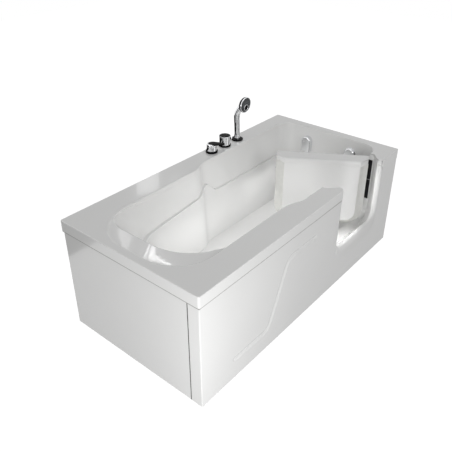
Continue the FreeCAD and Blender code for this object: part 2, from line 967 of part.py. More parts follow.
def strike_block():
    """Plate let into the jamb across from the spring catch."""
    y = catch_rod(catch_radius).BoundBox.Center.y
    low = (strike_face - strike_thickness, y - strike_width / 2, catch_height - strike_height / 2)
    return box(low, (strike_face, y + strike_width / 2, catch_height + strike_height / 2))


def strike_plate():
    """Strike plate with the hole that the plunger meets."""
    y = catch_rod(catch_radius).BoundBox.Center.y
    start = (strike_face - strike_thickness, y, catch_height)
    return strike_block().cut(rod(strike_hole_radius, start, (strike_face, y, catch_height)))


def sill_drain_rod(radius):
    """Bar square to the sill mitre, in from its face."""
    y = door_face + sill_drain_inset
    z = sill_height - sill_drain_inset
    slant = sill_drain_length / math.sqrt(2)
    x = doorway_place + sill_drain_shift
    return rod(radius, (x, y, z), (x, y - slant, z - slant))


# Waste

def waste_flange():
    """Flange and tube in the floor, with the guide for the plug."""
    x = waste_place
    top = floor_height + waste_flange_thickness
    low = floor_height - waste_tube_length
    bore = waste_tube_radius - waste_tube_wall
    guide_low = low + guide_height
    solids = [
        tube(waste_flange_radius, bore, (x, 0, floor_height), (x, 0, top)),
        tube(waste_tube_radius, bore, (x, 0, low), (x, 0, floor_height)),
        rod(guide_radius, (x, 0, low), (x, 0, guide_low)),
    ]
    for turn in range(guide_spokes):
        half = guide_spoke_width / 2
        spoke = box((x, -half, low), (x + bore + waste_tube_wall / 2, half, guide_low))
        spoke.rotate(Vector(x, 0, 0), Vector(0, 0, 1), 360 / guide_spokes * turn)
        solids.append(spoke)
    return join(solids).cut(rod(plug_stem_radius + running_gap, (x, 0, 0), (x, 0, top)))


def waste_plug():
    """Pop-up plug with its stem."""
    top = waste_flange_thickness + slip_gap + plug_thickness
    profile = [
        (0, waste_flange_thickness - plug_stem_length),
        (plug_stem_radius, waste_flange_thickness - plug_stem_length),
        (plug_stem_radius, waste_flange_thickness + slip_gap),
        (plug_radius, waste_flange_thickness + slip_gap),
        (plug_radius, top - plug_edge_radius),
        (plug_radius - plug_edge_radius, top),
        (0, top),
    ]
    return lathe(profile, (waste_place, 0, floor_height), (0, 0, 1))


def waste_gasket():
    """Ring between the floor and the waste body."""
    low = floor_under - waste_gasket_thickness
    bottom = (waste_place, 0, low)
    return tube(waste_gasket_radius, waste_tube_radius, bottom, (waste_place, 0, floor_under))


def waste_body():
    """Cup under the floor that the outlet and overflow pipes meet."""
    x = waste_place
    top = floor_under - waste_gasket_thickness
    cup = rod(waste_body_radius, (x, 0, waste_body_bottom), (x, 0, top))
    inside = waste_body_radius - waste_body_wall
    hollow = rod(inside, (x, 0, waste_body_bottom + waste_body_wall), (x, 0, top - waste_body_wall))
    neck = rod(waste_tube_radius, (x, 0, waste_body_bottom + waste_body_wall), (x, 0, floor_under))
    bore = waste_pipe_radius - waste_pipe_wall
    outlet = rod(bore, (x, 0, waste_pipe_height), (x, back_y, waste_pipe_height))
    return cup.cut(hollow).cut(neck).cut(outlet)


def waste_outlet_pipe():
    """Straight outlet from the waste body to the open back, with a narrower spigot at its end."""
    end = back_y - waste_pipe_back_gap
    bore = waste_pipe_radius - waste_pipe_wall
    start = (waste_place, 0, waste_pipe_height)
    neck = (waste_place, end - waste_spigot_length, waste_pipe_height)
    pipe = rod(waste_pipe_radius, start, neck)
    spigot = rod(waste_spigot_radius, neck, (waste_place, end, waste_pipe_height))
    hollow = rod(bore, start, (waste_place, end, waste_pipe_height))
    cup = rod(waste_body_radius, (waste_place, 0, 0), (waste_place, 0, floor_height))
    return join([pipe, spigot]).cut(hollow).cut(cup)


# Foot end wall

def wall_face(height):
    """Place of the foot end wall's inner face at a height."""
    share = (height - floor_height) / (tub_height - floor_height)
    return foot_x - foot_deck_width - between(foot_batter, 0, share)


def overflow_rosette():
    """Ring on the wall round the overflow."""
    face = wall_face(overflow_height) - overflow_rosette_depth
    start = (face, overflow_side, overflow_height)
    end = (foot_x, overflow_side, overflow_height)
    disc = tube(overflow_radius, overflow_shaft_radius + running_gap, start, end)
    return disc.common(basin_space())


def overflow_knob():
    """Turning knob with its shaft through the wall."""
    face = wall_face(overflow_height) - overflow_rosette_depth - slip_gap
    shaft_end = foot_x - end_pipe_setback - face
    profile = [
        (0, -overflow_knob_depth),
        (overflow_knob_radius - overflow_knob_edge, -overflow_knob_depth),
        (overflow_knob_radius, overflow_knob_edge - overflow_knob_depth),
        (overflow_knob_radius, 0),
        (overflow_shaft_radius, 0),
        (overflow_shaft_radius, shaft_end),
        (0, shaft_end),
    ]
    return lathe(profile, (face, overflow_side, overflow_height), (1, 0, 0))


def overflow_body():
    """Cup behind the wall that the overflow pipe drops from."""
    cup = end_wall_rod(overflow_body_radius, overflow_side, overflow_height).cut(basin_outside())
    end = foot_x - lip_wall - panel_thickness - overflow_body_gap
    cup = cup.common(box((0, front_y, 0), (end, back_y, tub_height)))
    inside = overflow_body_radius - overflow_body_wall
    lid = (end - overflow_body_wall, overflow_side, overflow_height)
    hollow = rod(inside, (0, overflow_side, overflow_height), lid)
    top = (end_pipe_x, overflow_side, overflow_height)
    down = (end_pipe_x, overflow_side, overflow_height - overflow_body_radius - overrun)
    outlet = rod(overflow_pipe_radius - overflow_pipe_wall, top, down)
    return cup.cut(hollow).cut(outlet)


def overflow_pipe():
    """Pipe from the overflow body down and along to the waste body."""
    points = [
        (end_pipe_x, overflow_side, overflow_height),
        (end_pipe_x, overflow_side, waste_pipe_height),
        (waste_place, 0, waste_pipe_height),
    ]
    pipe = bent_tube(points, overflow_pipe_bend, overflow_pipe_radius, overflow_pipe_wall)
    pipe = pipe.cut(rod(waste_body_radius, (waste_place, 0, 0), (waste_place, 0, floor_height)))
    return pipe.cut(end_wall_rod(overflow_body_radius, overflow_side, overflow_height))


def filler_arch(grow, depth, drop):
    """Arched block standing off the foot end wall."""
    half = filler_half_width + grow
    top = filler_top + grow
    face = wall_face(filler_top) - depth
    corners = [
        (filler_side - half, filler_top - filler_half_width - drop, 0),
        (filler_side + half, filler_top - filler_half_width - drop, 0),
        (filler_side + half, top, half - slip_gap),
        (filler_side - half, top, half - slip_gap),
    ]
    outline = rounded_wire(corners, lambda u, v: Vector(face, u, v))
    return prism(outline, Vector(foot_x - face, 0, 0))


def filler_spout():
    """Arched hood that the water falls from, open underneath."""
    block = filler_arch(0, filler_depth, filler_drop)
    room = block.BoundBox
    front = [edge for edge in block.Edges if edge.BoundBox.XMax - room.XMin < slip_gap]
    front = [edge for edge in front if edge.BoundBox.ZMax - room.ZMin > slip_gap]
    hood = block.makeFillet(filler_edge_radius, front)
    hollow = filler_arch(-filler_wall, filler_depth - filler_wall, filler_drop + overrun)
    return hood.cut(hollow).common(basin_space())


def filler_tail():
    """Threaded tail through the wall and the elbow behind it."""
    height = filler_top - filler_tail_drop
    elbow = end_wall_rod(filler_elbow_radius, filler_side, height).cut(basin_outside())
    room = foot_x - lip_wall - panel_thickness - filler_elbow_gap
    elbow = elbow.common(box((0, front_y, 0), (room, back_y, tub_height)))
    start = (wall_face(height) - filler_tail_reach, filler_side, height)
    tail = rod(filler_tail_radius, start, (end_pipe_x, filler_side, height))
    bore = rod(supply_pipe_radius, start, (end_pipe_x, filler_side, height))
    return join([elbow, tail]).cut(bore)


def filler_pipe():
    """Pipe from the diverter along the back and the foot end to the filler tail."""
    height = tub_height - filler_pipe_drop
    run_y = back_y - filler_pipe_wall_gap
    points = [
        (diverter_place, tap_y, height),
        (foot_x - filler_pipe_turn_gap, run_y, height),
        (end_pipe_x, run_y, height),
        (end_pipe_x, filler_side, height),
    ]
    pipe = bent_tube(points, filler_pipe_bend, supply_pipe_radius, supply_pipe_wall)
    pipe = pipe.cut(diverter_valve_rod())
    return pipe.cut(end_wall_rod(filler_elbow_radius, filler_side, filler_top - filler_tail_drop))


# Taps

def deck_rings():
    """Rings that the taps stand on."""
    bore = shank_radius + slip_gap
    rings = [tube(ring_radius, bore, (x, tap_y, tub_height), (x, tap_y, ring_top)) for x in tap_places]
    return Part.makeCompound(rings)


def backnuts():
    """Nuts under the deck."""
    low = deck_under - backnut_thickness
    nuts = []
    for x in tap_places:
        nuts.append(tube(backnut_radius, shank_radius, (x, tap_y, low), (x, tap_y, deck_under)))
    return Part.makeCompound(nuts)


def mixer_body():
    """Mixer housing with its shank and the block that the pipes meet."""
    profile = [
        (0, 0),
        (mixer_base_radius, 0),
        (mixer_top_radius, mixer_body_height),
        (mixer_cartridge_radius, mixer_body_height),
        (mixer_cartridge_radius, mixer_floor),
        (0, mixer_floor),
    ]
    return lathe(profile, (mixer_place, tap_y, ring_top), (0, 0, 1))


def mixer_shank():
    """Threaded shank through the deck with the supply block below it."""
    block_top = tub_height - mixer_block_drop
    half_length = mixer_block_length / 2
    half_width = mixer_block_width / 2
    low = (mixer_place - half_length, tap_y - half_width, block_top - mixer_block_height)
    block = box(low, (mixer_place + half_length, tap_y + half_width, block_top))
    return join([rod(shank_radius, (mixer_place, tap_y, block_top), (mixer_place, tap_y, ring_top)), block])


def mixer_cartridge():
    """Ceramic cartridge in the housing."""
    low = ring_top + mixer_floor
    high = ring_top + mixer_body_height + mixer_cartridge_stand
    return rod(mixer_cartridge_radius, (mixer_place, tap_y, low), (mixer_place, tap_y, high))


def lever_pivot():
    """Place of the lever's pivot: distance along X and height."""
    x = mixer_place - mixer_top_radius + lever_pivot_inset + lever_tongue_length / 2
    z = ring_top + mixer_body_height + slip_gap + mixer_collar_thickness + lever_gap + lever_thickness / 2
    return x, z


def point_lever(shape):
    """Copy of a mixer piece turned to where its lever points at rest."""
    turned = shape.copy()
    turned.rotate(Vector(mixer_place, tap_y, 0), Vector(0, 0, 1), lever_angle)
    return turned


def mixer_collar():
    """Collar that turns on the cartridge and carries the lever's pivot."""
    low = ring_top + mixer_body_height + slip_gap
    high = low + mixer_collar_thickness
    disc = rod(mixer_top_radius, (mixer_place, tap_y, low), (mixer_place, tap_y, high))
    top = (mixer_place, tap_y, mixer_seat_top())
    seat = rod(mixer_cartridge_radius + running_gap, (mixer_place, tap_y, 0), top)
    x, z = lever_pivot()
    inner = lever_tongue_width / 2 + slip_gap
    outer = inner + lever_lug_width
    half = lever_tongue_length / 2
    lugs = [
        box((x - half, tap_y + inner, high), (x + half, tap_y + outer, z + half)),
        box((x - half, tap_y - outer, high), (x + half, tap_y - inner, z + half)),
    ]
    pin = rod(lever_pivot_radius, (x, tap_y - outer, z), (x, tap_y + outer, z))
    disc_room = rod(mixer_top_radius, (mixer_place, tap_y, low), (mixer_place, tap_y, high + overrun))
    return point_lever(join([disc.cut(seat)] + lugs + [pin]).common(disc_room))


def mixer_seat_top():
    """Height of the collar's seat on top of the cartridge."""
    return ring_top + mixer_body_height + mixer_cartridge_stand + running_gap


def mixer_lever():
    """Flat lever with its tongue on the pivot."""
    x, z = lever_pivot()
    low = z - lever_thickness / 2
    tip = mixer_place + lever_length
    half_tip = lever_tip_width / 2
    shoulder = mixer_place + mixer_top_radius / 2
    corners = [
        (x + lever_tongue_length, tap_y - mixer_top_radius + lever_pivot_inset, lever_tip_radius),
        (shoulder, tap_y - mixer_top_radius, lever_tip_radius),
        (tip, tap_y - half_tip, lever_tip_radius),
        (tip, tap_y + half_tip, lever_tip_radius),
        (shoulder, tap_y + mixer_top_radius, lever_tip_radius),
        (x + lever_tongue_length, tap_y + mixer_top_radius - lever_pivot_inset, lever_tip_radius),
    ]
    plate = prism(rounded_wire(corners, lambda u, v: Vector(u, v, low)), Vector(0, 0, lever_thickness))
    half = lever_tongue_width / 2
    tongue_low = (x - lever_tongue_length / 4, tap_y - half, low)
    tongue = box(tongue_low, (shoulder, tap_y + half, low + lever_thickness))
    bore = rod(lever_pivot_radius + running_gap, (x, tap_y - half, z), (x, tap_y + half, z))
    return point_lever(join([plate, tongue]).cut(bore))


def supply_pipes():
    """Hot and cold pipes down from the mixer block."""
    top = tub_height - mixer_block_drop - mixer_block_height
    bore = supply_pipe_radius - supply_pipe_wall
    pipes = []
    for side in (-1, 1):
        x = mixer_place + side * supply_pipe_spacing / 2
        pipes.append(tube(supply_pipe_radius, bore, (x, tap_y, top - supply_pipe_length), (x, tap_y, top)))
    return Part.makeCompound(pipes)


def link_pipe():
    """Pipe from the mixer block to the diverter valve."""
    height = tub_height - link_pipe_drop
    start = (mixer_place + mixer_block_length / 2, tap_y, height)
    bore = supply_pipe_radius - supply_pipe_wall
    return tube(supply_pipe_radius, bore, start, (diverter_place, tap_y, height)).cut(diverter_valve_rod())


def diverter_valve_rod():
    """Outside of the diverter valve under the deck."""
    low = (diverter_place, tap_y, tub_height - diverter_valve_drop)
    return rod(diverter_valve_radius, low, (diverter_place, tap_y, deck_under - backnut_thickness))


def diverter_valve():
    """Valve under the deck with its shank and spindle."""
    x = diverter_place
    shank = rod(shank_radius, (x, tap_y, deck_under - backnut_thickness), (x, tap_y, ring_top))
    end = (x, tap_y, ring_top + diverter_spindle_length)
    spindle = rod(diverter_spindle_radius, (x, tap_y, ring_top), end)
    return join([diverter_valve_rod(), shank, spindle])


def diverter_knob():
    """Turning knob with a wider cap and a peg at its side."""
    low = ring_top + slip_gap
    x = diverter_place
    body_top = low + diverter_body_height
    body = rod(diverter_body_radius, (x, tap_y, low), (x, tap_y, body_top))
    cap = rod(diverter_cap_radius, (x, tap_y, body_top), (x, tap_y, body_top + diverter_cap_height))
    reach = diverter_body_radius + diverter_peg_length
    angle = math.radians(diverter_peg_angle)
    height = low + diverter_peg_height
    tip = (x + reach * math.cos(angle), tap_y + reach * math.sin(angle), height)
    peg = rod(diverter_peg_radius, (x, tap_y, height), tip)
    end = (x, tap_y, ring_top + diverter_spindle_length + slip_gap)
    bore = rod(diverter_spindle_radius + running_gap, (x, tap_y, 0), end)
    return join([body, cap, peg]).cut(bore)


# Hand shower

def shower_socket():
    """Socket on the deck that the handset stands in."""
    bottom = (shower_place, tap_y, ring_top)
    top = (shower_place, tap_y, ring_top + socket_height)
    return tube(socket_radius, handset_radius + slip_gap, bottom, top)


def hose_gland():
    """Tube through the deck that the shower hose would pass."""
    low = deck_under - hose_gland_drop
    return tube(shank_radius, hose_gland_bore, (shower_place, tap_y, low), (shower_place, tap_y, ring_top))


def head_axis():
    """Direction that the spray face points."""
    angle = math.radians(head_tilt)
    return Vector(0, -math.cos(angle), -math.sin(angle))


def neck_path():
    """Points of the handset's bent handle."""
    foot = (shower_place, tap_y, ring_top + slip_gap)
    bend_at = (shower_place, tap_y, ring_top + handset_straight)
    angle = math.radians(handset_lean)
    reach = handset_bend * math.tan(angle / 2) + handset_neck
    tip = (shower_place, tap_y - reach * math.sin(angle), bend_at[2] + reach * math.cos(angle))
    return [foot, bend_at, tip]


def head_centre():
    """Middle of the back of the shower head."""
    tip = Vector(*neck_path()[-1])
    angle = math.radians(handset_lean)
    along = Vector(0, -math.sin(angle), math.cos(angle))
    return tip - along * head_bury


def head_point(depth, offset):
    """Point on the head's axis at a depth, set off towards the handle."""
    angle = math.radians(head_tilt)
    along = Vector(0, -math.sin(angle), math.cos(angle))
    return head_centre() + head_axis() * depth - along * offset


def spray_back():
    """Depth of the seat that the spray face lies on."""
    return head_thickness - spray_recess - spray_thickness


def dial_pin_rod(radius, back, front):
    """Bar on the dial's axis between two depths of the head."""
    return rod(radius, head_point(back, dial_offset), head_point(front, dial_offset))


def handset_body():
    """Handle and head shell of the hand shower."""
    handle = bent_rod(neck_path(), handset_bend, handset_radius)
    profile = [
        (0, -head_back_depth),
        (head_back_radius, -head_back_depth),
        (head_radius, 0),
        (head_radius, head_thickness),
        (0, head_thickness),
    ]
    head = lathe(profile, head_point(0, 0), head_axis())
    front = head_thickness + overrun
    seat = rod(spray_radius + running_gap, head_point(spray_back(), 0), head_point(front, 0))
    bore = dial_pin_rod(dial_pin_radius + running_gap, spray_back() - dial_pin_length, front)
    return join([handle, head]).cut(seat).cut(bore)


def spray_face():
    """Face plate with the nozzles' side of the head, bored for the dial."""
    front = spray_back() + spray_thickness
    plate = rod(spray_radius, head_point(spray_back(), 0), head_point(front, 0))
    return plate.cut(dial_pin_rod(dial_pin_radius + running_gap, 0, head_thickness))


def spray_dial():
    """Small dial on the face that sets the spray."""
    face = spray_back() + spray_thickness + slip_gap
    pin_end = spray_back() - dial_pin_length + slip_gap
    disc = dial_pin_rod(dial_radius, face, face + dial_thickness)
    return join([disc, dial_pin_rod(dial_pin_radius, pin_end, face)])


def all_pieces():
    """Every piece under its node name."""
    lows = hinge_lows()
    pieces = {
        "tub_shell": tub_shell(),
        "door_frame": door_frame(),
        "front_panel": front_panel(),
        "head_end_panel": end_panel(-1),
        "foot_end_panel": end_panel(1),
        "base_board": base_board(),
        "frame_long_rails": long_rails(),
        "frame_cross_rails": cross_rails(),
        "frame_uprights": uprights(),
        "sill_brackets": sill_brackets(),
        "panel_clips": panel_clips(),
        "foot_bushes": foot_bushes(),
        "door_outer_pan": door_outer_pan(),
        "door_inner_pan": door_inner_pan(),
        "door_stiffener": door_stiffener(),
        "door_top_cap": door_top_cap(),
        "door_seal": door_seal(),
        "hinge_jamb_leaves": Part.makeCompound([hinge_jamb_leaf(low) for low in lows]),
        "hinge_door_leaves": Part.makeCompound([hinge_door_leaf(low) for low in lows]),
        "hinge_pins": Part.makeCompound([hinge_pin_rod(hinge_pin_radius, low) for low in lows]),
        "hinge_screws": Part.makeCompound(hinge_screw_rods()),
        "catch_barrel": catch_barrel(),
        "catch_plunger": catch_plunger(),
        "strike_plate": strike_plate(),
        "sill_drain": sill_drain_rod(sill_drain_radius).cut(sill_drain_rod(sill_drain_bore)),
        "waste_flange": waste_flange(),
        "waste_plug": waste_plug(),
        "waste_gasket": waste_gasket(),
        "waste_body": waste_body(),
        "waste_outlet_pipe": waste_outlet_pipe(),
        "overflow_rosette": overflow_rosette(),
        "overflow_knob": overflow_knob(),
        "overflow_body": overflow_body(),
        "overflow_pipe": overflow_pipe(),
        "filler_spout": filler_spout(),
        "filler_tail": filler_tail(),
        "filler_pipe": filler_pipe(),
        "deck_rings": deck_rings(),
        "deck_backnuts": backnuts(),
        "mixer_body": mixer_body(),
        "mixer_shank": mixer_shank(),
        "mixer_cartridge": mixer_cartridge(),
        "mixer_collar": mixer_collar(),
        "mixer_lever": mixer_lever(),
        "supply_pipes": supply_pipes(),
        "link_pipe": link_pipe(),
        "diverter_valve": diverter_valve(),
        "diverter_knob": diverter_knob(),
        "shower_socket": shower_socket(),
        "hose_gland": hose_gland(),
        "handset_body": handset_body(),
        "spray_face": spray_face(),
        "spray_dial": spray_dial(),
    }
    for number, (x, y) in enumerate(foot_places, start=1):
        pieces[f"levelling_foot_{number}"] = levelling_foot(x, y)
    return pieces


os.makedirs("parts", exist_ok=True)
for name, shape in all_pieces().items():
    print(name, len(shape.Solids), shape.isValid(), round(shape.Volume))
    shape.exportStep(f"parts/{name}.step")
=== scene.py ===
"""Walk-in bathtub: the looks of every piece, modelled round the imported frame."""

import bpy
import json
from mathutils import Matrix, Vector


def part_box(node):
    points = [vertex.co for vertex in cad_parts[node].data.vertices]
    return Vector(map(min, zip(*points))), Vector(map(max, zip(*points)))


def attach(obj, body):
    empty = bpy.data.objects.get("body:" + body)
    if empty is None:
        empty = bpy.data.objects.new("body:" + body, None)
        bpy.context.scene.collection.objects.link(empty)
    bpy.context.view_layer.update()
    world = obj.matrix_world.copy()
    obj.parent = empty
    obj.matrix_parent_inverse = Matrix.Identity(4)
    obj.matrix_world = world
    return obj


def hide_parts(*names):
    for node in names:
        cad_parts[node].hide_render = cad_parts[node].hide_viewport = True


bl_info = {
    "name": "Walk-in bathtub",
    "version": (1, 0, 0),
    "blender": (4, 5, 0),
    "location": "View3D > Sidebar > Bathtub",
    "description": "Models and finishes the pieces of a walk-in bathtub with a side door",
    "category": "Object",
}

import json
import math

import bmesh
import bpy
from mathutils import Matrix, Vector

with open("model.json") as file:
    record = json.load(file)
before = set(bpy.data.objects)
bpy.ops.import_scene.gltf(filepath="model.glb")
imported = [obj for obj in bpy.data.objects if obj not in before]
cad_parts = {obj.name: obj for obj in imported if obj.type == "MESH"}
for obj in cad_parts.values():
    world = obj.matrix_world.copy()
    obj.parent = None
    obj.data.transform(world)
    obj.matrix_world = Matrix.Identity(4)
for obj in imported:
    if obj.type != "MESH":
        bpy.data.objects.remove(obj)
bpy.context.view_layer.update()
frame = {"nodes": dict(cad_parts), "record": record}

MM = 0.001

# Levels of the tub above the floor it stands on, in millimetres
DECK = 605
LIP_FOOT = 550
BASIN_FLOOR = 120


# Colours

def linear(code):
    """Linear colour of an sRGB hex value."""
    values = [int(code[place:place + 2], 16) / 255 for place in (1, 3, 5)]
    return tuple(v / 12.92 if v <= 0.04045 else ((v + 0.055) / 1.055) ** 2.4 for v in values)


def colour(name, code, description):
    """A colour that a user may change."""
    return bpy.props.FloatVectorProperty(
        name=name, description=description, default=linear(code), subtype="COLOR", min=0, max=1
    )


def length(name, millimetres, description):
    """A size that a user may change."""
    return bpy.props.FloatProperty(
        name=name, description=description, default=millimetres * MM, unit="LENGTH"
    )


# Sizes and colours that a user would change

class ShellSizes(bpy.types.PropertyGroup):
    """Sizes of the acrylic shell."""

    wall: length("Wall", 5.5, "Thickness of the moulded acrylic")
    lip_edge: length("Lip edge", 4, "Rounding of the deck's outer edge")
    rim_edge: length("Rim edge", 5, "Rounding where the deck turns into the basin")
    rest_edge: length("Headrest edge", 16, "Rounding where the headrest turns into the backrest")
    rest_end: length("Headrest end", 2, "Rounding at the headrest's thin end on the door side")
    rest_depth: length("Headrest depth", 15, "How far the headrest scoop drops below the deck")
    crease: length("Shoulder crease", 14, "Width of the ledge along the shoulder line")
    floor_turn: length("Floor turn", 30, "Rounding between the wall and the floor")
    # The strip under the lip is a painted shadow line; these are its height and depth
    shadow_strip_height: length("Lip shadow strip height", 7, "Height of the strip under the lip")
    shadow_strip_depth: length("Lip shadow strip depth", 4, "Depth of the strip under the lip")
    cap_edge: length("Door cap edge", 9, "Rounding of the door's top cap")
    gasket: length("Panel gasket", 4, "Width of the strip in the joint of two panels")
    cut_edge: length("Cut edge", 5, "Rounding of the edges at the doorway")


class FinishColours(bpy.types.PropertyGroup):
    """Colours of the finishes."""

    acrylic: colour("Acrylic", "#EFEFEE", "White of the shell, the panels and the door")
    seal: colour("Seal", "#ECECE8", "Cream of the door seal")
    black: colour("Black", "#0B0B0C", "Black of the hinge leaves and the tap trim")
    chrome: colour("Chrome", "#E9EAEC", "Tint of the chrome plate")
    grey: colour("Grey", "#8E9194", "Grey of the waste fittings")


class TapSizes(bpy.types.PropertyGroup):
    """Sizes of the taps and the hand shower."""

    mixer_radius: length("Mixer radius", 30, "Radius of the mixer housing at its foot")
    lid_reach: length("Lid reach", 74, "How far the mixer's lid reaches from the mixer's axis")
    diverter_radius: length("Diverter radius", 31, "Radius of the turning knob")
    head_radius: length("Shower head radius", 46, "Radius of the hand shower's head")


class StageSizes(bpy.types.PropertyGroup):
    """Where the camera stands and how strong the light is."""

    lens: bpy.props.FloatProperty(
        name="Lens", description="Focal length in millimetres", default=44.3987, min=1
    )
    floor: length("Floor", 14000, "Side of the pale floor")
    key_power: bpy.props.FloatProperty(
        name="Key light", description="Power of the large soft light", default=90.0, unit="POWER"
    )
    sky: bpy.props.FloatProperty(
        name="Sky", description="Level of the even light from all round", default=0.335, min=0
    )


# Materials

def give(node, values):
    """Set inputs of a node; a value is a plain value or the socket it comes from."""
    for name, value in values.items():
        if isinstance(value, bpy.types.NodeSocket):
            node.id_data.links.new(value, node.inputs[name])
        else:
            node.inputs[name].default_value = value


def add(tree, kind, values=None, **settings):
    """Add a node with its inputs and its settings."""
    made = tree.nodes.new(kind)
    for name, setting in settings.items():
        setattr(made, name, setting)
    give(made, values or {})
    return made


def opaque(rgb):
    """Colour with a full alpha."""
    return (rgb[0], rgb[1], rgb[2], 1.0)


def per_metre(millimetres):
    """Texture scale that repeats once in a real size."""
    return 1 / (millimetres * MM)


def bare_material(name):
    """Node material that has no nodes yet."""
    made = bpy.data.materials.new(name)
    made.use_nodes = True
    made.node_tree.nodes.clear()
    return made, made.node_tree


def new_material(name):
    """Node material with its shader and object coordinates."""
    made, tree = bare_material(name)
    shader = add(tree, "ShaderNodeBsdfPrincipled")
    add(tree, "ShaderNodeOutputMaterial", {"Surface": shader.outputs["BSDF"]})
    place = add(tree, "ShaderNodeTexCoord").outputs["Object"]
    return made, shader, place


def grain(place, size, stretch=(1, 1, 1), detail=2.0):
    """Noise of a real size in millimetres, stretched along an axis."""
    tree = place.id_data
    mapped = add(tree, "ShaderNodeMapping", {"Vector": place, "Scale": stretch})
    values = {"Vector": mapped.outputs["Vector"], "Scale": per_metre(size), "Detail": detail}
    return add(tree, "ShaderNodeTexNoise", values).outputs["Fac"]


def ramp(factor, low, high, first=0.3, last=0.7):
    """Colour that goes from low to high with a pattern."""
    made = add(factor.id_data, "ShaderNodeValToRGB", {"Fac": factor})
    made.color_ramp.elements[0].position = first
    made.color_ramp.elements[0].color = opaque(low)
    made.color_ramp.elements[1].position = last
    made.color_ramp.elements[1].color = opaque(high)
    return made.outputs["Color"]


def spread(factor, low, high):
    """Number that goes from low to high with a pattern."""
    values = {"Value": factor, "To Min": low, "To Max": high}
    return add(factor.id_data, "ShaderNodeMapRange", values).outputs["Result"]


def bump(factor, depth, strength):
    """Normal with a bump of a real depth in millimetres."""
    values = {"Height": factor, "Distance": depth * MM, "Strength": strength}
    return add(factor.id_data, "ShaderNodeBump", values).outputs["Normal"]


def shade(rgb, share):
    """Colour made darker or lighter."""
    return tuple(min(1.0, channel * share) for channel in rgb)


def material(recipe):
    """Maker of a material; its recipe gives shader inputs from object coordinates."""
    def make(name, *choices):
        made, shader, place = new_material(name)
        give(shader, recipe(place, *choices))
        return made
    return make


@material
def cast_acrylic(place, rgb, roughness):
    """Vacuum formed acrylic sheet: hard gloss, a very faint ripple, the white hardly varying."""
    return {
        "Base Color": ramp(grain(place, 240), shade(rgb, 0.985), rgb),
        "Roughness": spread(grain(place, 60), roughness * 0.8, roughness * 1.2),
        "IOR": 1.49,
        "Coat Weight": 0.35,
        "Coat Roughness": 0.03,
        "Normal": bump(grain(place, 45), 0.05, 0.35),
    }


@material
def silicone(place, rgb):
    """Extruded silicone: soft sheen and a fine drag along the strip."""
    return {
        "Base Color": ramp(grain(place, 30), shade(rgb, 0.93), rgb),
        "Roughness": 0.5,
        "Normal": bump(grain(place, 1.2, (1, 1, 0.05)), 0.08, 0.4),
    }


@material
def powder_coat(place, rgb):
    """Baked powder coat: fine pebbled satin."""
    return {
        "Base Color": ramp(grain(place, 25), rgb, shade(rgb, 1.6)),
        "Roughness": 0.42,
        "Normal": bump(grain(place, 0.8), 0.05, 0.5),
    }


@material
def gloss_plastic(place, rgb):
    """Injection moulded ABS from a polished tool: a deep tone, a weak gloss, faint flow marks."""
    return {
        "Base Color": ramp(grain(place, 18), rgb, shade(rgb, 1.25)),
        "Roughness": spread(grain(place, 9), 0.096, 0.156),
        "IOR": 1.54,
        "Specular IOR Level": 0.03,
    }


@material
def matt_plastic(place, rgb):
    """Spark eroded moulding: an even fine grain."""
    return {
        "Base Color": ramp(grain(place, 20), shade(rgb, 0.9), rgb),
        "Roughness": 0.55,
        "Normal": bump(grain(place, 0.9), 0.06, 0.5),
    }


@material
def plated(place, rgb, roughness):
    """Chrome plate on polished brass: a mirror with a trace of polishing haze."""
    haze = grain(place, 14, detail=4.0)
    return {
        "Base Color": opaque(rgb),
        "Metallic": 1.0,
        "Roughness": spread(haze, roughness * 0.6, roughness * 1.5),
    }


@material
def drawn_metal(place, rgb, roughness, size, stretch):
    """Drawn, brushed or turned metal: fine lines along the work."""
    lines = grain(place, size, stretch, 3.0)
    return {
        "Base Color": ramp(lines, shade(rgb, 0.8), rgb),
        "Metallic": 1.0,
        "Roughness": spread(lines, roughness * 0.8, roughness * 1.3),
        "Normal": bump(lines, 0.03, 0.4),
    }


@material
def galvanised(place):
    """Hot dip zinc: pale spangles a couple of centimetres across, each with its own gloss."""
    tree = place.id_data
    cells = add(tree, "ShaderNodeTexVoronoi", {"Vector": place, "Scale": per_metre(16)})
    flake = add(tree, "ShaderNodeSeparateColor", {"Color": cells.outputs["Color"]}).outputs["Red"]
    return {
        "Base Color": ramp(flake, linear("#8A9093"), linear("#B7BCBE"), 0.0, 1.0),
        "Metallic": 1.0,
        "Roughness": spread(flake, 0.32, 0.5),
        "Normal": bump(grain(place, 3), 0.05, 0.3),
    }


@material
def plywood(place):
    """Raw plywood: long grain lines on a pale tan sheet."""
    lines = grain(place, 9, (0.06, 1, 1), 6.0)
    return {
        "Base Color": ramp(lines, linear("#A67B4C"), linear("#D0AC7A")),
        "Roughness": 0.68,
        "Normal": bump(lines, 0.2, 0.4),
    }


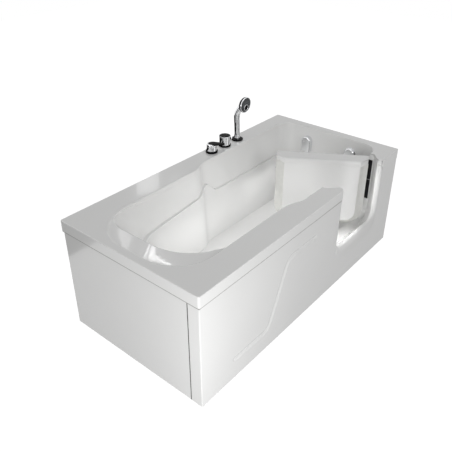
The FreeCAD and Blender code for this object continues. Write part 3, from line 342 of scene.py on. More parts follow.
def make_materials():
    """All finishes of the bathtub under short names."""
    tint = bpy.context.scene.tub_colours
    along_z = (1, 1, 0.04)
    across_z = (0.2, 0.2, 1)
    even = (0.1, 0.1, 0.1)
    return {
        "acrylic": cast_acrylic("vacuum_formed_white_acrylic", tint.acrylic, 0.16),
        "door": cast_acrylic("moulded_white_door_acrylic", tint.acrylic, 0.2),
        "seal": silicone("extruded_cream_silicone", tint.seal),
        # Mid grey of the strip under the lip: a painted shadow line, not a seal's own colour
        "bead": silicone("grey_silicone_bead", linear("#A6A6A3")),
        "black_steel": powder_coat("black_powder_coated_steel", tint.black),
        "stainless": drawn_metal("brushed_stainless_steel", linear("#C6C7C9"), 0.28, 1.5, along_z),
        "zinc": galvanised("hot_dip_galvanised_steel"),
        "board": plywood("raw_plywood"),
        "foot": matt_plastic("moulded_black_nylon", linear("#17181A")),
        "black_gloss": gloss_plastic("polished_black_abs", tint.black),
        "grey_plastic": matt_plastic("moulded_grey_polypropylene", tint.grey),
        "spray_grey": matt_plastic("moulded_grey_silicone_spray_plate", linear("#3E4143")),
        "rubber": silicone("black_epdm_rubber", linear("#141414")),
        "copper": drawn_metal("drawn_copper_tube", linear("#C9855F"), 0.3, 2.0, even),
        "brass": drawn_metal("turned_brass", linear("#C9A55A"), 0.26, 0.8, across_z),
        "ceramic": matt_plastic("sintered_ceramic_cartridge", linear("#E6E1D8")),
        "chrome": plated("chrome_plated_brass", tint.chrome, 0.04),
    }


materials = {}


def finish_named(name):
    """Material of a finish; all are made when the first is asked for."""
    if not materials:
        materials.update(make_materials())
    return materials[name]


# Pieces

def link(name, data):
    """New object in the scene."""
    made = bpy.data.objects.new(name, data)
    bpy.context.scene.collection.objects.link(made)
    return made


def settle(name, mesh, body, slot, finish, nodes, bevel=0.0, segments=2, limit=35.0):
    """Make an object of a mesh, ride it on its body and let it stand for its nodes."""
    piece = link(name, mesh)
    mesh.materials.append(finish_named(finish))
    mesh.shade_smooth()
    if bevel:
        made = piece.modifiers.new("edges", "BEVEL")
        made.width = bevel * MM
        made.segments = segments
        made.limit_method = "ANGLE"
        made.angle_limit = math.radians(limit)
    else:
        mesh.set_sharp_from_angle(angle=math.radians(limit))
    even = piece.modifiers.new("even_shading", "WEIGHTED_NORMAL")
    even.keep_sharp = True
    even.weight = 80
    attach(piece, body)
    if nodes:
        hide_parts(*nodes)


def mesh_of(bm, name):
    """Mesh of a finished bmesh."""
    mesh = bpy.data.meshes.new(name)
    bm.to_mesh(mesh)
    bm.free()
    return mesh


def bmesh_of(mesh, gap):
    """Bmesh of a mesh, with points nearer than a gap joined."""
    bm = bmesh.new()
    bm.from_mesh(mesh)
    bmesh.ops.remove_doubles(bm, verts=bm.verts, dist=gap)
    return bm


def face_out(bm):
    """Turn all faces outwards."""
    bmesh.ops.recalc_face_normals(bm, faces=bm.faces)


def final_mesh(thing):
    """Mesh of an object with its modifiers applied."""
    bpy.context.view_layer.update()
    graph = bpy.context.evaluated_depsgraph_get()
    return bpy.data.meshes.new_from_object(thing.evaluated_get(graph))


def merged(node):
    """Bmesh of a node with its triangles joined and its flat faces whole."""
    bm = bmesh_of(frame["nodes"][node].data, 2e-5)
    flat = math.radians(0.5)
    bmesh.ops.dissolve_limit(bm, angle_limit=flat, verts=bm.verts, edges=bm.edges)
    return bm


def body_of(node):
    """Body that a node moves with."""
    groups = frame["record"]["behaviour"]["bodies"]
    return next(name for name, nodes in groups.items() if node in nodes)


def slot_of(node):
    """Material slot of a node in the record."""
    parts = frame["record"]["subparts"]
    return next(part["material_slot"] for part in parts if part["node"] == node)


def dress(node, finish, bevel=0.0, segments=2, limit=35.0):
    """Soft-edged copy of a node whose shape is right as it is."""
    name = node + "_form"
    mesh = mesh_of(merged(node), name)
    body, slot = body_of(node), slot_of(node)
    settle(name, mesh, body, slot, finish, [node], bevel, segments, limit)


# Material slot and finish of what shows of the taps
CHROME = ("chrome", "chrome")
BLACK = ("black_plastic", "black_gloss")


def form(name, bm, body, look, nodes=(), **edges):
    """Settle a piece that is made as a bmesh; its look is a slot and a finish."""
    settle(name, mesh_of(bm, name), body, *look, nodes, **edges)


def middle(node):
    """Centre of a node's box, in metres."""
    low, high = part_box(node)
    return (Vector(low) + Vector(high)) / 2


def levels(node):
    """Lowest and highest level of a node, in metres."""
    low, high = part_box(node)
    return low[2], high[2]


def joint(name):
    """What the record says about a joint."""
    joints = frame["record"]["behaviour"]["joints"]
    return next(item for item in joints if item["name"] == name)


def near(radius, height, *points):
    """Profile points that are given from a radius and a height."""
    return [(radius + x, height + z) for x, z in points]


def turned(profile, centre, axis=(0, 0, 1), closed=False, steps=64):
    """Solid turned from a profile of (radius, height) pairs in millimetres."""
    bm = bmesh.new()
    spot = Vector(centre)
    way = Vector(axis).normalized()
    side = way.orthogonal().normalized()
    places = [spot + (side * radius + way * height) * MM for radius, height in profile]
    verts = [bm.verts.new(place) for place in places]
    edges = [bm.edges.new(pair) for pair in zip(verts, verts[1:])]
    if closed:
        edges.append(bm.edges.new((verts[-1], verts[0])))
    bmesh.ops.spin(
        bm, geom=verts + edges, cent=spot, axis=way, angle=math.tau, steps=steps, use_merge=True
    )
    bmesh.ops.remove_doubles(bm, verts=bm.verts, dist=1e-6)
    face_out(bm)
    return bm


def round_bar(stations):
    """Mesh of a smooth round bar; a station is its place in metres and radius in millimetres."""
    path = bpy.data.curves.new("bar", "CURVE")
    path.dimensions = "3D"
    path.bevel_depth = MM
    path.bevel_resolution = 7
    path.resolution_u = 10
    path.use_fill_caps = True
    spline = path.splines.new("NURBS")
    spline.points.add(len(stations) - 1)
    for point, (place, radius) in zip(spline.points, stations):
        point.co = (*place, 1)
        point.radius = radius
    spline.order_u = 4
    spline.use_endpoint_u = True
    holder = link("bar", path)
    mesh = final_mesh(holder)
    bpy.data.objects.remove(holder)
    bpy.data.curves.remove(path)
    bm = bmesh_of(mesh, 1e-6)
    face_out(bm)
    bm.to_mesh(mesh)
    bm.free()
    return mesh


CORNER_STEPS = 12
SIDE_STEPS = 32


def outline(corners):
    """Closed outline through rounded corners: x, y and reach along the sides, in millimetres."""
    points = []
    count = len(corners)
    for place, (x, y, reach) in enumerate(corners):
        here = Vector((x, y))
        back = (Vector(corners[place - 1][:2]) - here).normalized()
        after = Vector(corners[(place + 1) % count][:2])
        ahead = (after - here).normalized()
        weight = math.sin(back.angle(ahead) / 2)
        start = here + back * reach
        end = here + ahead * reach
        for step in range(CORNER_STEPS + 1):
            t = step / CORNER_STEPS
            pulls = ((1 - t) ** 2, 2 * t * (1 - t) * weight, t * t)
            points.append((start * pulls[0] + here * pulls[1] + end * pulls[2]) / sum(pulls))
        following = after - ahead * corners[(place + 1) % count][2]
        for step in range(1, SIDE_STEPS):
            points.append(end.lerp(following, step / SIDE_STEPS))
    return points


def between(low, high, share):
    """Value a share of the way from low to high."""
    return low + (high - low) * share


def share_at(level):
    """Where a level lies between the basin's floor, 0, and the deck, 1."""
    return (level - BASIN_FLOOR) / (DECK - BASIN_FLOOR)


# The step in the long walls: its middle, half its length, its depth and its rounding
STEP, STEP_HALF, STEP_DEPTH, STEP_TURN = -39, 38, 35, 32
# How much wider the basin is at its head than at the waist, to each side
HEAD_FLARE = 9


def basin_corners(share, inset):
    """Corners of the basin; share 0 is the floor and 1 the rim."""
    foot = between(770, 795, share) - inset
    head = between(-385, -725, share) + inset
    wide = between(290, 322, share) - inset
    waist = wide - STEP_DEPTH
    back = [
        (foot, wide, between(75, 90, share)),
        (STEP + STEP_HALF, wide, STEP_TURN),
        (STEP - STEP_HALF, waist, STEP_TURN),
        (head, waist + HEAD_FLARE, between(120, 130, share)),
    ]
    front = [(x, -y, reach) for x, y, reach in reversed(back)]
    front[0] = (head, -waist - HEAD_FLARE, between(120, 250, share))
    return back + front


# The shoulder line: x along the tub and its height there
SHOULDER = ((-760, 362), (-85, 443), (-8, 478), (14, 473), (80, 413), (125, 410), (860, 410))
# About how high up the wall it runs, how far its ledge drops, and the rounding of the ledge
SHOULDER_SHARE, CREASE_DROP, CREASE_EDGE = 0.6, 0.5, 1.2


def shoulder(x):
    """Height of the shoulder line, with its hump over the step in the wall."""
    for (low_x, low_z), (high_x, high_z) in zip(SHOULDER, SHOULDER[1:]):
        if x <= high_x:
            return between(low_z, high_z, (x - low_x) / (high_x - low_x))
    return SHOULDER[-1][1]


def ring(bm, points, heights):
    """Closed loop of vertices."""
    return [bm.verts.new((p.x * MM, p.y * MM, z * MM)) for p, z in zip(points, heights)]


def strip(bm, lower, upper):
    """Faces between two loops, point to point; bridge_loops would pair them by distance."""
    count = len(lower)
    for place in range(count):
        after = (place + 1) % count
        bm.faces.new((lower[place], lower[after], upper[after], upper[place]))


def loop_edges(bm, loop):
    """Edges along a closed loop of vertices."""
    return [bm.edges.get((loop[place - 1], loop[place])) for place in range(len(loop))]


def soften(bm, geom, width, segments, affect="EDGES"):
    """Round edges or corners by a width in millimetres."""
    bmesh.ops.bevel(
        bm,
        geom=geom,
        offset=width * MM,
        offset_type="OFFSET",
        affect=affect,
        segments=segments,
        profile=0.5,
        material=-1,
        clamp_overlap=True,
    )


# Outline of the deck, and the head end corners, far and near, of the headrest's loops
LIP_CORNERS = (
    (850, 425, 10),
    (11, 425, 24),
    (-89, 425, 24),
    (-850, 425, 10),
    (-850, -425, 10),
    (-89, -425, 24),
    (11, -425, 24),
    (850, -419.2, 10),
)
RIM_HEAD = ((-815, 288, 235), (-813, -292, 200))
BANK_HEAD = ((-806, 284, 230), (-804, -288, 195))
RIDGE_HEAD = ((-706, 292, 110), (-703, -284, 262))
# Where the bank and the ridge start to run out into the wall, and over what length
BANK_START, RIDGE_START, REST_RUN = -640, -560, 120
# Level whose outline each follows, and the bank's own levels at the headrest and in the wall
BANK_LEVEL, RIDGE_LEVEL = 590, 575
BANK_LEVELS = (600, 592)
# The ridge has room for a wide round down to the first y; past this x and y is its thin end
REST_FRONT = -250
REST_END = (-445, -265)


def headrest_outline(level, head):
    """Outline of the basin at a level, with the headrest's own corners at the head end."""
    corners = basin_corners(share_at(level), 0)
    corners[3:5] = head
    return outline(corners)


def running_out(points, start, head_level, wall_level):
    """Levels of a loop that change where the headrest runs out into the wall."""
    shares = [min(1, max(0, (point.x - start) / REST_RUN)) for point in points]
    return [between(head_level, wall_level, share) for share in shares]


def shell_surface(sizes):
    """Deck, lip and basin as one skin, deck side outwards."""
    bm = bmesh.new()
    lip = outline(LIP_CORNERS)
    count = len(lip)
    lip_low = ring(bm, lip, [LIP_FOOT] * count)
    lip_top = ring(bm, lip, [DECK] * count)
    rim_loop = ring(bm, headrest_outline(DECK, RIM_HEAD), [DECK] * count)
    bank = headrest_outline(BANK_LEVEL, BANK_HEAD)
    bank_loop = ring(bm, bank, running_out(bank, BANK_START, *BANK_LEVELS))
    ridge = headrest_outline(RIDGE_LEVEL, RIDGE_HEAD)
    rest_level = DECK - sizes.rest_depth / MM
    heights = running_out(ridge, RIDGE_START, rest_level, RIDGE_LEVEL)
    ridge_loop = ring(bm, ridge, heights)
    line = [shoulder(point.x) for point in outline(basin_corners(SHOULDER_SHARE, 0))]
    crease = sizes.crease / MM
    over = []
    under = []
    for place, level in enumerate(line):
        over.append(outline(basin_corners(share_at(level), 0))[place])
        under.append(outline(basin_corners(share_at(level), crease))[place])
    crease_top = ring(bm, over, line)
    crease_low = ring(bm, under, [level - CREASE_DROP for level in line])
    floor_loop = ring(bm, outline(basin_corners(0, crease)), [BASIN_FLOOR] * count)
    loops = [lip_low, lip_top, rim_loop, bank_loop]
    loops += [ridge_loop, crease_top, crease_low, floor_loop]
    for low, high in zip(loops, loops[1:]):
        strip(bm, low, high)
    bm.faces.new(floor_loop)
    soften(bm, loop_edges(bm, floor_loop), sizes.floor_turn / MM, 8)
    soften(bm, loop_edges(bm, crease_top) + loop_edges(bm, crease_low), CREASE_EDGE, 2)
    return bm, lip_top, rim_loop, ridge_loop


def flat_face(points, level):
    """Bmesh of one face over a top view outline, in millimetres."""
    bm = bmesh.new()
    bm.faces.new([bm.verts.new((x * MM, y * MM, level * MM)) for x, y in points])
    return bm


def raise_face(bm, height):
    """Raise the one face of a bmesh to a solid of a height in millimetres."""
    made = bmesh.ops.extrude_face_region(bm, geom=bm.faces)
    top = [item for item in made["geom"] if isinstance(item, bmesh.types.BMVert)]
    bmesh.ops.translate(bm, verts=top, vec=(0, 0, height * MM))
    face_out(bm)


def prism(points, low, high):
    """Upright prism over a top view outline, in millimetres."""
    bm = flat_face(points, low)
    raise_face(bm, high - low)
    return bm


def rectangle(low, high):
    """Corners of a rectangle seen from above."""
    return [(low[0], low[1]), (high[0], low[1]), (high[0], high[1]), (low[0], high[1])]


# Doorway seen from above: its left edge in the lip, a line clear of the front, the frame in it
# with its levels, and the left, right and back bounds of the cut in the deck
DOORWAY_EDGE = 214
CLEAR = -470
FRAME_BLOCK = ((146, -413.5), (727, -252))
FRAME_LEVELS = (140, 600.5)
DECK_CUT = (170, 710, -260)


def doorway_outline():
    """Top view of the gap that the doorway leaves in the deck and the lip."""
    jamb, face, deep, steps = 230, -418.5, 22, 4
    left = [(179, -240), (179, -346), (jamb, -392)]
    for step in range(steps + 1):
        angle = math.radians(90 - 90 * step / steps)
        x = jamb - (jamb - DOORWAY_EDGE) * (1 - math.sin(angle))
        left.append((x, face + deep * (1 - math.cos(angle))))
    left.append((DOORWAY_EDGE, CLEAR))
    # The right side mirrors the left one, with its inner part 5 mm further in
    return left + [(878 - x - 5 * (y > -350), y) for x, y in reversed(left)]


def carve(mesh, cutters):
    """Mesh with the cutters taken out of it."""
    block = link("block", mesh)
    tools = []
    for bm in cutters:
        tool = link("tool", mesh_of(bm, "tool"))
        tools.append(tool)
        cut = block.modifiers.new("cut", "BOOLEAN")
        cut.operation = "DIFFERENCE"
        cut.solver = "FAST"
        cut.object = tool
    made = final_mesh(block)
    if not made.polygons:
        raise RuntimeError("The cut leaves nothing of " + mesh.name)
    for done in [block] + tools:
        data = done.data
        bpy.data.objects.remove(done)
        bpy.data.meshes.remove(data)
    return made


def rest_edges(bm, ridge_loop):
    """The headrest's ridge: edges with room for a wide round, and its thin end on the door side."""
    wide = []
    narrow = []
    for edge in loop_edges(bm, ridge_loop):
        spot = (edge.verts[0].co + edge.verts[1].co) / 2 / MM
        if spot.y > REST_FRONT:
            wide.append(edge)
        elif spot.x < REST_END[0] and spot.y < REST_END[1]:
            narrow.append(edge)
    return wide, narrow


def deck_cut_edges(bm):
    """Sharp edges that the doorway leaves round the top of the deck and the lip."""
    found = []
    left, right, back = DECK_CUT
    for edge in bm.edges:
        spot = (edge.verts[0].co + edge.verts[1].co) / 2 / MM
        inside = left < spot.x < right and spot.y < back and spot.z > DECK - 2
        if inside and len(edge.link_faces) == 2 and edge.calc_face_angle() > 1:
            found.append(edge)
    return found


class BATHTUB_OT_shell(bpy.types.Operator):
    """Acrylic shell with its deck, basin and headrest"""

    bl_idname = "bathtub.shell"
    bl_label = "Shell"

    def execute(self, context):
        sizes = context.scene.tub_shell
        bm, lip_top, rim_loop, ridge_loop = shell_surface(sizes)
        soften(bm, loop_edges(bm, lip_top), sizes.lip_edge / MM, 4)
        soften(bm, loop_edges(bm, rim_loop), sizes.rim_edge / MM, 5)
        wide, narrow = rest_edges(bm, ridge_loop)
        soften(bm, wide, sizes.rest_edge / MM, 6)
        soften(bm, narrow, sizes.rest_end / MM, 3)
        bmesh.ops.remove_doubles(bm, verts=bm.verts, dist=1e-5)
        face_out(bm)
        bmesh.ops.solidify(bm, geom=bm.faces, thickness=sizes.wall)
        face_out(bm)
        block = prism(rectangle(*FRAME_BLOCK), *FRAME_LEVELS)
        gap = prism(doorway_outline(), LIP_FOOT - 20, DECK + 45)
        name = "tub_shell_form"
        mesh = carve(mesh_of(bm, name), [block, gap])
        bm = bmesh_of(mesh, 1e-5)
        soften(bm, deck_cut_edges(bm), sizes.cut_edge / MM, 4)
        bm.to_mesh(mesh)
        bm.free()
        settle(name, mesh, "tub", "white_acrylic", "acrylic", ["tub_shell"], limit=50)
        return {"FINISHED"}


class BATHTUB_OT_panels(bpy.types.Operator):
    """Front panel with its groove and rolled doorway edge, and the two end panels"""

    bl_idname = "bathtub.panels"
    bl_label = "Panels"

    def execute(self, context):
        dress("front_panel", "acrylic")
        dress("head_end_panel", "acrylic", 1.0)
        dress("foot_end_panel", "acrylic", 1.0)
        return {"FINISHED"}


# Grey strip under the lip, a painted shadow line: its gap to the lip, and a line behind it on the
# door side
SHADOW_STRIP_GAP, SHADOW_STRIP_BACK = 0.2, -410
# Panel gaskets: depth in the joint, the share of it that stands proud, and the foot's level
GASKET_DEPTH, GASKET_PROUD, GASKET_FOOT = 4, 0.12, 6


class BATHTUB_OT_lip_seal(bpy.types.Operator):
    """Grey strip under the shell's lip that paints the lip's shadow line, and the gaskets at the
    front corners
    """

    bl_idname = "bathtub.lip_seal"
    bl_label = "Lip shadow strip"

    def execute(self, context):
        sizes = context.scene.tub_shell
        low, high = LIP_FOOT - sizes.shadow_strip_height / MM, LIP_FOOT - SHADOW_STRIP_GAP
        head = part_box("head_end_panel")[0][0] / MM
        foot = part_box("foot_end_panel")[1][0] / MM
        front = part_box("front_panel")[0][1] / MM
        deep = sizes.shadow_strip_depth / MM
        around = rectangle((head - deep, front - deep), (foot + deep, deep - front))
        inside = rectangle((head, front), (foot, -front))
        beyond = rectangle((DOORWAY_EDGE, CLEAR), (foot + 20, SHADOW_STRIP_BACK))
        cutters = [prism(points, LIP_FOOT - 50, LIP_FOOT + 10) for points in (inside, beyond)]
        mesh = carve(mesh_of(prism(around, low, high), "lip_shadow_strip"), cutters)
        # The strip's mid grey is a painted shadow line under the lip's overhang
        settle("lip_shadow_strip", mesh, "tub", "seal_cream", "bead", [], 0.6)
        self.gasket("head_gasket", head, GASKET_DEPTH, sizes.gasket / MM / 2)
        self.gasket("foot_gasket", foot, -GASKET_DEPTH, sizes.gasket / MM / 2)
        return {"FINISHED"}

    def gasket(self, name, face, into, half):
        """Black strip in the upright joint between the front panel and an end panel."""
        seam = (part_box("front_panel")[1][1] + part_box("head_end_panel")[0][1]) / 2 / MM
        low, high = sorted((face - into * GASKET_PROUD, face + into))
        points = rectangle((low, seam - half), (high, seam + half))
        form(name, prism(points, GASKET_FOOT, LIP_FOOT - 2), "tub", ("rubber", "rubber"))


class BATHTUB_OT_doorway(bpy.types.Operator):
    """Jambs and sill with the drain and the strike plate"""

    bl_idname = "bathtub.doorway"
    bl_label = "Doorway"

    def execute(self, context):
        dress("door_frame", "acrylic", 2.5, 3)
        dress("strike_plate", "stainless", 0.3)
        dress("sill_drain", "black_gloss", 0.5)
        return {"FINISHED"}


class BATHTUB_OT_door(bpy.types.Operator):
    """Door pans, top cap, board and seal"""

    bl_idname = "bathtub.door"
    bl_label = "Door"

    def execute(self, context):
        dress("door_outer_pan", "door", 2.0, 3)
        dress("door_inner_pan", "door", 2.0, 3)
        self.cap(context.scene.tub_shell.cap_edge / MM)
        dress("door_stiffener", "board")
        dress("door_seal", "seal", 0.4)
        return {"FINISHED"}

    def cap(self, width):
        """Top cap with a broad rounded edge."""
        bm = merged("door_top_cap")
        top = levels("door_top_cap")[1]
        rim = [
            edge
            for edge in bm.edges
            if all(top - vert.co.z < MM for vert in edge.verts) and edge.calc_face_angle(0) > 0.7
        ]
        soften(bm, rim, width, 6)
        look = ("door_acrylic", "door")
        form("door_top_cap_form", bm, "door", look, ["door_top_cap"], limit=50)


class BATHTUB_OT_hinges(bpy.types.Operator):
    """Hinge leaves, pins and screws, and the spring catch"""

    bl_idname = "bathtub.hinges"
    bl_label = "Hinges and catch"

    def execute(self, context):
        for node in ("hinge_jamb_leaves", "hinge_door_leaves"):
            dress(node, "black_steel", 0.5)
        for node in ("hinge_pins", "hinge_screws", "catch_barrel", "catch_plunger"):
            dress(node, "stainless", 0.3)
        return {"FINISHED"}


def lid_plate(reach, wide, tip, low, high, back=-18):
    """Teardrop plate along X from the mixer's axis, in millimetres."""
    shoulder_x, back_wide, corner = 4, wide * 0.55, 9
    corners = [(back, -back_wide), (shoulder_x, -wide), (reach, -tip)]
    corners += [(reach, tip), (shoulder_x, wide), (back, back_wide)]
    bm = flat_face(corners, low)
    soften(bm, bm.verts, corner, 6, "VERTICES")
    raise_face(bm, high - low)
    return bm


def aim_lever(bm):
    """Turn and move a lever piece from the origin to the mixer, pointing as the lever rests."""
    lift = joint("mixer_lift")["axis"]
    turn = math.atan2(lift[0], -lift[1])
    bmesh.ops.rotate(bm, verts=bm.verts, cent=(0, 0, 0), matrix=Matrix.Rotation(turn, 3, "Z"))
    spot = middle("mixer_body")
    bmesh.ops.translate(bm, verts=bm.verts, vec=(spot.x, spot.y, 0))


# Collars on the deck: wall beyond the bore, and the least radius outside
COLLAR_WALL, COLLAR_LEAST = 3.4, 34


class BATHTUB_OT_taps(bpy.types.Operator):
    """Mixer, diverter and their rings on the back deck"""

    bl_idname = "bathtub.taps"
    bl_label = "Taps"

    def execute(self, context):
        sizes = context.scene.tub_taps
        self.rings(sizes)
        dress("mixer_cartridge", "ceramic", 0.5)
        self.mixer(sizes)
        self.diverter(sizes)
        return {"FINISHED"}

    def rings(self, sizes):
        """Black collars on the deck round each fitting."""
        bm = bmesh.new()
        seat = levels("deck_rings")[0]
        places = (
            ("mixer_body", sizes.mixer_radius / MM + 0.5, 12),
            ("diverter_valve", sizes.diverter_radius / MM + 0.6, 10),
            ("hose_gland", 17.8, 8),
        )
        for node, bore, tall in places:
            spot = middle(node)
            wide = max(bore + COLLAR_WALL, COLLAR_LEAST)
            profile = [(bore, 0), (wide, 0), *near(wide, tall, (0, -2), (-0.6, -0.6), (-1.6, 0))]
            profile.append((bore, tall))
            part = mesh_of(turned(profile, (spot.x, spot.y, seat), closed=True), "collar")
            bm.from_mesh(part)
            bpy.data.meshes.remove(part)
        form("deck_rings_form", bm, "tub", BLACK, ["deck_rings"])

    def mixer(self, sizes):
        """Housing, turning head and lid."""
        spot = middle("mixer_body")
        seat = levels("mixer_body")[0]
        radius = sizes.mixer_radius / MM
        bore = 17
        housing = [(0, 6), (bore, 6), (bore, 31)]
        housing += near(radius, 0, (-3, 31), (-2.6, 30), (-0.8, 6), (0, 2), (0, 0)) + [(0, 0)]
        bm = turned(housing, (spot.x, spot.y, seat))
        form("mixer_body_form", bm, "tub", CHROME, ["mixer_body"], bevel=0.5)
        low = levels("mixer_collar")[0] / MM
        wide = radius - 2.6
        head = [(0, 6.2), (17.5, 6.2), (17.5, 0), *near(wide, 0, (-0.6, 0), (0, 0.6), (0, 9))]
        head += near(wide, 0, (-0.6, 12), (-2.2, 14.6), (-5, 16.2), (-9, 17)) + [(0, 17.4)]
        hub = mesh_of(turned(head, (spot.x, spot.y, low * MM)), "mixer_collar_form")
        pocket = lid_plate(120, 25.5, 22, low + 8.4, low + 60, -21)
        aim_lever(pocket)
        hub = carve(hub, [pocket])
        settle("mixer_collar_form", hub, "mixer_head", *CHROME, ["mixer_collar"], 0.6)
        base, top = (level / MM for level in levels("mixer_lever"))
        lid = lid_plate(sizes.lid_reach / MM, 24, 10.5, base, top)
        aim_lever(lid)
        form("mixer_lever_form", lid, "mixer_lever", BLACK, ["mixer_lever"], bevel=2.6, segments=5)

    def diverter(self, sizes):
        """Turning knob with a black top and a peg."""
        spot = middle("diverter_valve")
        low, high = levels("diverter_knob")
        tall = (high - low) / MM
        radius = sizes.diverter_radius / MM
        foot = (spot.x, spot.y, low)
        knob = [(0, 30.4), (6.4, 30.4), (6.4, 0), *near(radius, 0, (-1, 0), (0, 1))]
        knob += near(radius, tall, (0, -9), (1.6, -7.5), (2, -6), (2, -2.5))
        knob += near(radius, tall, (1.2, -1.2), (0.4, -1.2), (0.2, -2.4)) + [(0, tall - 2.4)]
        bm = turned(knob, foot)
        form("diverter_knob_form", bm, "diverter", CHROME, ["diverter_knob"], bevel=0.4)
        disc = [(0, tall - 2.3), *near(radius, tall, (0, -2.3), (0, -1), (-1.2, -0.3)), (0, tall)]
        form("diverter_top", turned(disc, foot), "diverter", BLACK)
        angle, rise = math.radians(-40), 38 * MM
        way = (math.cos(angle), math.sin(angle), 0)
        place = (spot.x, spot.y, low + rise)
        peg = near(0, radius, (0, -2), (5, -2), (5, 10), (4, 11.5), (0, 12))
        bm = turned(peg, place, way, steps=24)
        form("diverter_peg", bm, "diverter", CHROME, bevel=0.4)
        band = near(0, radius, (5.1, -1), (8.4, -1), (8.4, 3), (7.4, 4), (5.1, 4))
        form("diverter_peg_ring", turned(band, place, way, True, 24), "diverter", BLACK)


# From the hand shower's spray face to the joint of its handle and head
HEAD_DEPTH = 16
# Bow of its handle: share of the height, offset to the back, and radius
BOW = ((0, 0, 15.6), (0.25, 0, 15.8), (0.5, 3, 16.4), (0.66, 4, 16.8), (0.8, -6, 17))


class BATHTUB_OT_hand_shower(bpy.types.Operator):
    """Hand shower with its socket, spray face and dial"""

    bl_idname = "bathtub.hand_shower"
    bl_label = "Hand shower"

    def execute(self, context):
        sizes = context.scene.tub_taps
        spot = middle("hose_gland")
        low = levels("shower_socket")[0]
        socket = [(16.4, 0), (17.6, 0), (17.6, 25), (17.2, 26), (16.4, 26)]
        bm = turned(socket, (spot.x, spot.y, low), closed=True)
        form("shower_socket_form", bm, "tub", CHROME, ["shower_socket"], bevel=0.4)
        way = Vector(joint("spray_turn")["axis"]).normalized()
        back = middle("spray_face") - way * HEAD_DEPTH * MM
        self.handle(spot, low, back, way)
        self.head(sizes.head_radius / MM, back, way)
        return {"FINISHED"}

    def handle(self, spot, low, back, way):
        """Bowed handle, wider towards the head."""
        foot = Vector((spot.x, spot.y, low + 0.6 * MM))
        rise = back.z - low
        stations = [
            (foot + Vector((0, across * MM, rise * share)), radius) for share, across, radius in BOW
        ]
        stations.append((back - way * 16 * MM - Vector((0, 0, 18 * MM)), 17))
        stations.append((back - way * 2 * MM, 15))
        name = "handset_body_form"
        settle(name, round_bar(stations), "handset", *CHROME, ["handset_body"], limit=50)

    def head(self, radius, back, way):
        """Black shell, chrome ring, grey face with nozzles, and the dial."""
        shell = [(0, -14), (12, -13.2), (24, -10), (34, -5), (41, 1)]
        shell += near(radius, 0, (-2, 7), (-0.5, 12), (-0.5, 14)) + [(0, 14)]
        form("handset_head_shell", turned(shell, back, way), "handset", BLACK, limit=50)
        edge = near(radius, 0, (-5, 14.1), (-0.9, 14.1), (-0.9, 16.6), (-1.6, 18.4))
        edge += near(radius, 0, (-3.6, 18.8), (-4.8, 18.2))
        form("handset_head_ring", turned(edge, back, way, True), "handset", CHROME, limit=50)
        inner, top = radius - 5.2, 18
        face = [(0, 14.2), (inner, 14.2), (inner, 17.2), (inner - 1.4, top), (0, top)]
        bm = turned(face, back, way)
        self.nozzles(bm, inner, back + way * top * MM, way)
        look = ("black_plastic", "spray_grey")
        form("spray_face_form", bm, "handset", look, ["spray_face"])
        centre = Vector(joint("spray_turn")["pos_m"])
        centre -= way * (way.dot(centre - back) - (top + 0.4) * MM)
        dial = [(0, 0), (15, 0), (15, 4), (13.6, 5.2), (6, 4.4), (0, 4.2)]
        bm = turned(dial, centre, way, steps=48)
        form("spray_dial_form", bm, "dial", BLACK, ["spray_dial"], limit=40)
        rim = [(15.1, 0), (18, 0), (18, 3.6), (17.2, 4.8), (15.8, 4.8), (15.1, 4)]
        form("spray_dial_ring", turned(rim, centre, way, True, 48), "dial", CHROME, limit=40)

    def nozzles(self, bm, radius, centre, way):
        """Rings of small soft nozzles on the face."""
        across = way.orthogonal().normalized()
        turn = way.to_track_quat("Z", "Y").to_matrix().to_4x4()
        for share, count in ((0.9, 30), (0.74, 24)):
            for step in range(count):
                spin = Matrix.Rotation(math.tau * step / count, 3, way)
                place = centre + spin @ (across * radius * share * MM) + way * 0.5 * MM
                bmesh.ops.create_cone(
                    bm,
                    cap_ends=True,
                    segments=8,
                    radius1=1.5 * MM,
                    radius2=0.9 * MM,
                    depth=1.6 * MM,
                    matrix=Matrix.Translation(place) @ turn,
                )


class BATHTUB_OT_foot_wall(bpy.types.Operator):
    """Overflow with its knob, and the filler spout"""

    bl_idname = "bathtub.foot_wall"
    bl_label = "Foot wall"

    def execute(self, context):
        dress("overflow_rosette", "chrome", 0.8)
        dress("overflow_knob", "chrome", 0.8)
        dress("filler_spout", "chrome", 0.6)
        return {"FINISHED"}


class BATHTUB_OT_waste(bpy.types.Operator):
    """Waste in the floor with its plug and pipes"""

    bl_idname = "bathtub.waste"
    bl_label = "Waste"

    def execute(self, context):
        dress("waste_flange", "chrome", 0.6)
        dress("waste_plug", "chrome", 0.8)
        dress("waste_gasket", "rubber", 0.4)
        dress("waste_body", "grey_plastic", 1.0)
        dress("waste_outlet_pipe", "grey_plastic", 0.6)
        dress("overflow_body", "grey_plastic", 1.0)
        dress("overflow_pipe", "grey_plastic", 0.5)
        return {"FINISHED"}


class BATHTUB_OT_pipes(bpy.types.Operator):
    """Water pipes and brass fittings under the deck"""

    bl_idname = "bathtub.pipes"
    bl_label = "Pipes"

    def execute(self, context):
        for node in ("supply_pipes", "link_pipe", "filler_pipe"):
            dress(node, "copper", 0.3)
        for node in ("deck_backnuts", "mixer_shank", "diverter_valve", "hose_gland", "filler_tail"):
            dress(node, "brass", 0.6)
        return {"FINISHED"}


class BATHTUB_OT_steelwork(bpy.types.Operator):
    """Steel frame, base board and levelling feet"""

    bl_idname = "bathtub.steelwork"
    bl_label = "Steelwork"

    def execute(self, context):
        for node in ("frame_long_rails", "frame_cross_rails", "frame_uprights"):
            dress(node, "zinc", 1.2)
        for node in ("sill_brackets", "panel_clips", "foot_bushes"):
            dress(node, "zinc", 0.6)
        dress("base_board", "board", 0.8)
        for number in range(1, 7):
            dress("levelling_foot_%d" % number, "foot", 0.8)
        return {"FINISHED"}


# Stage

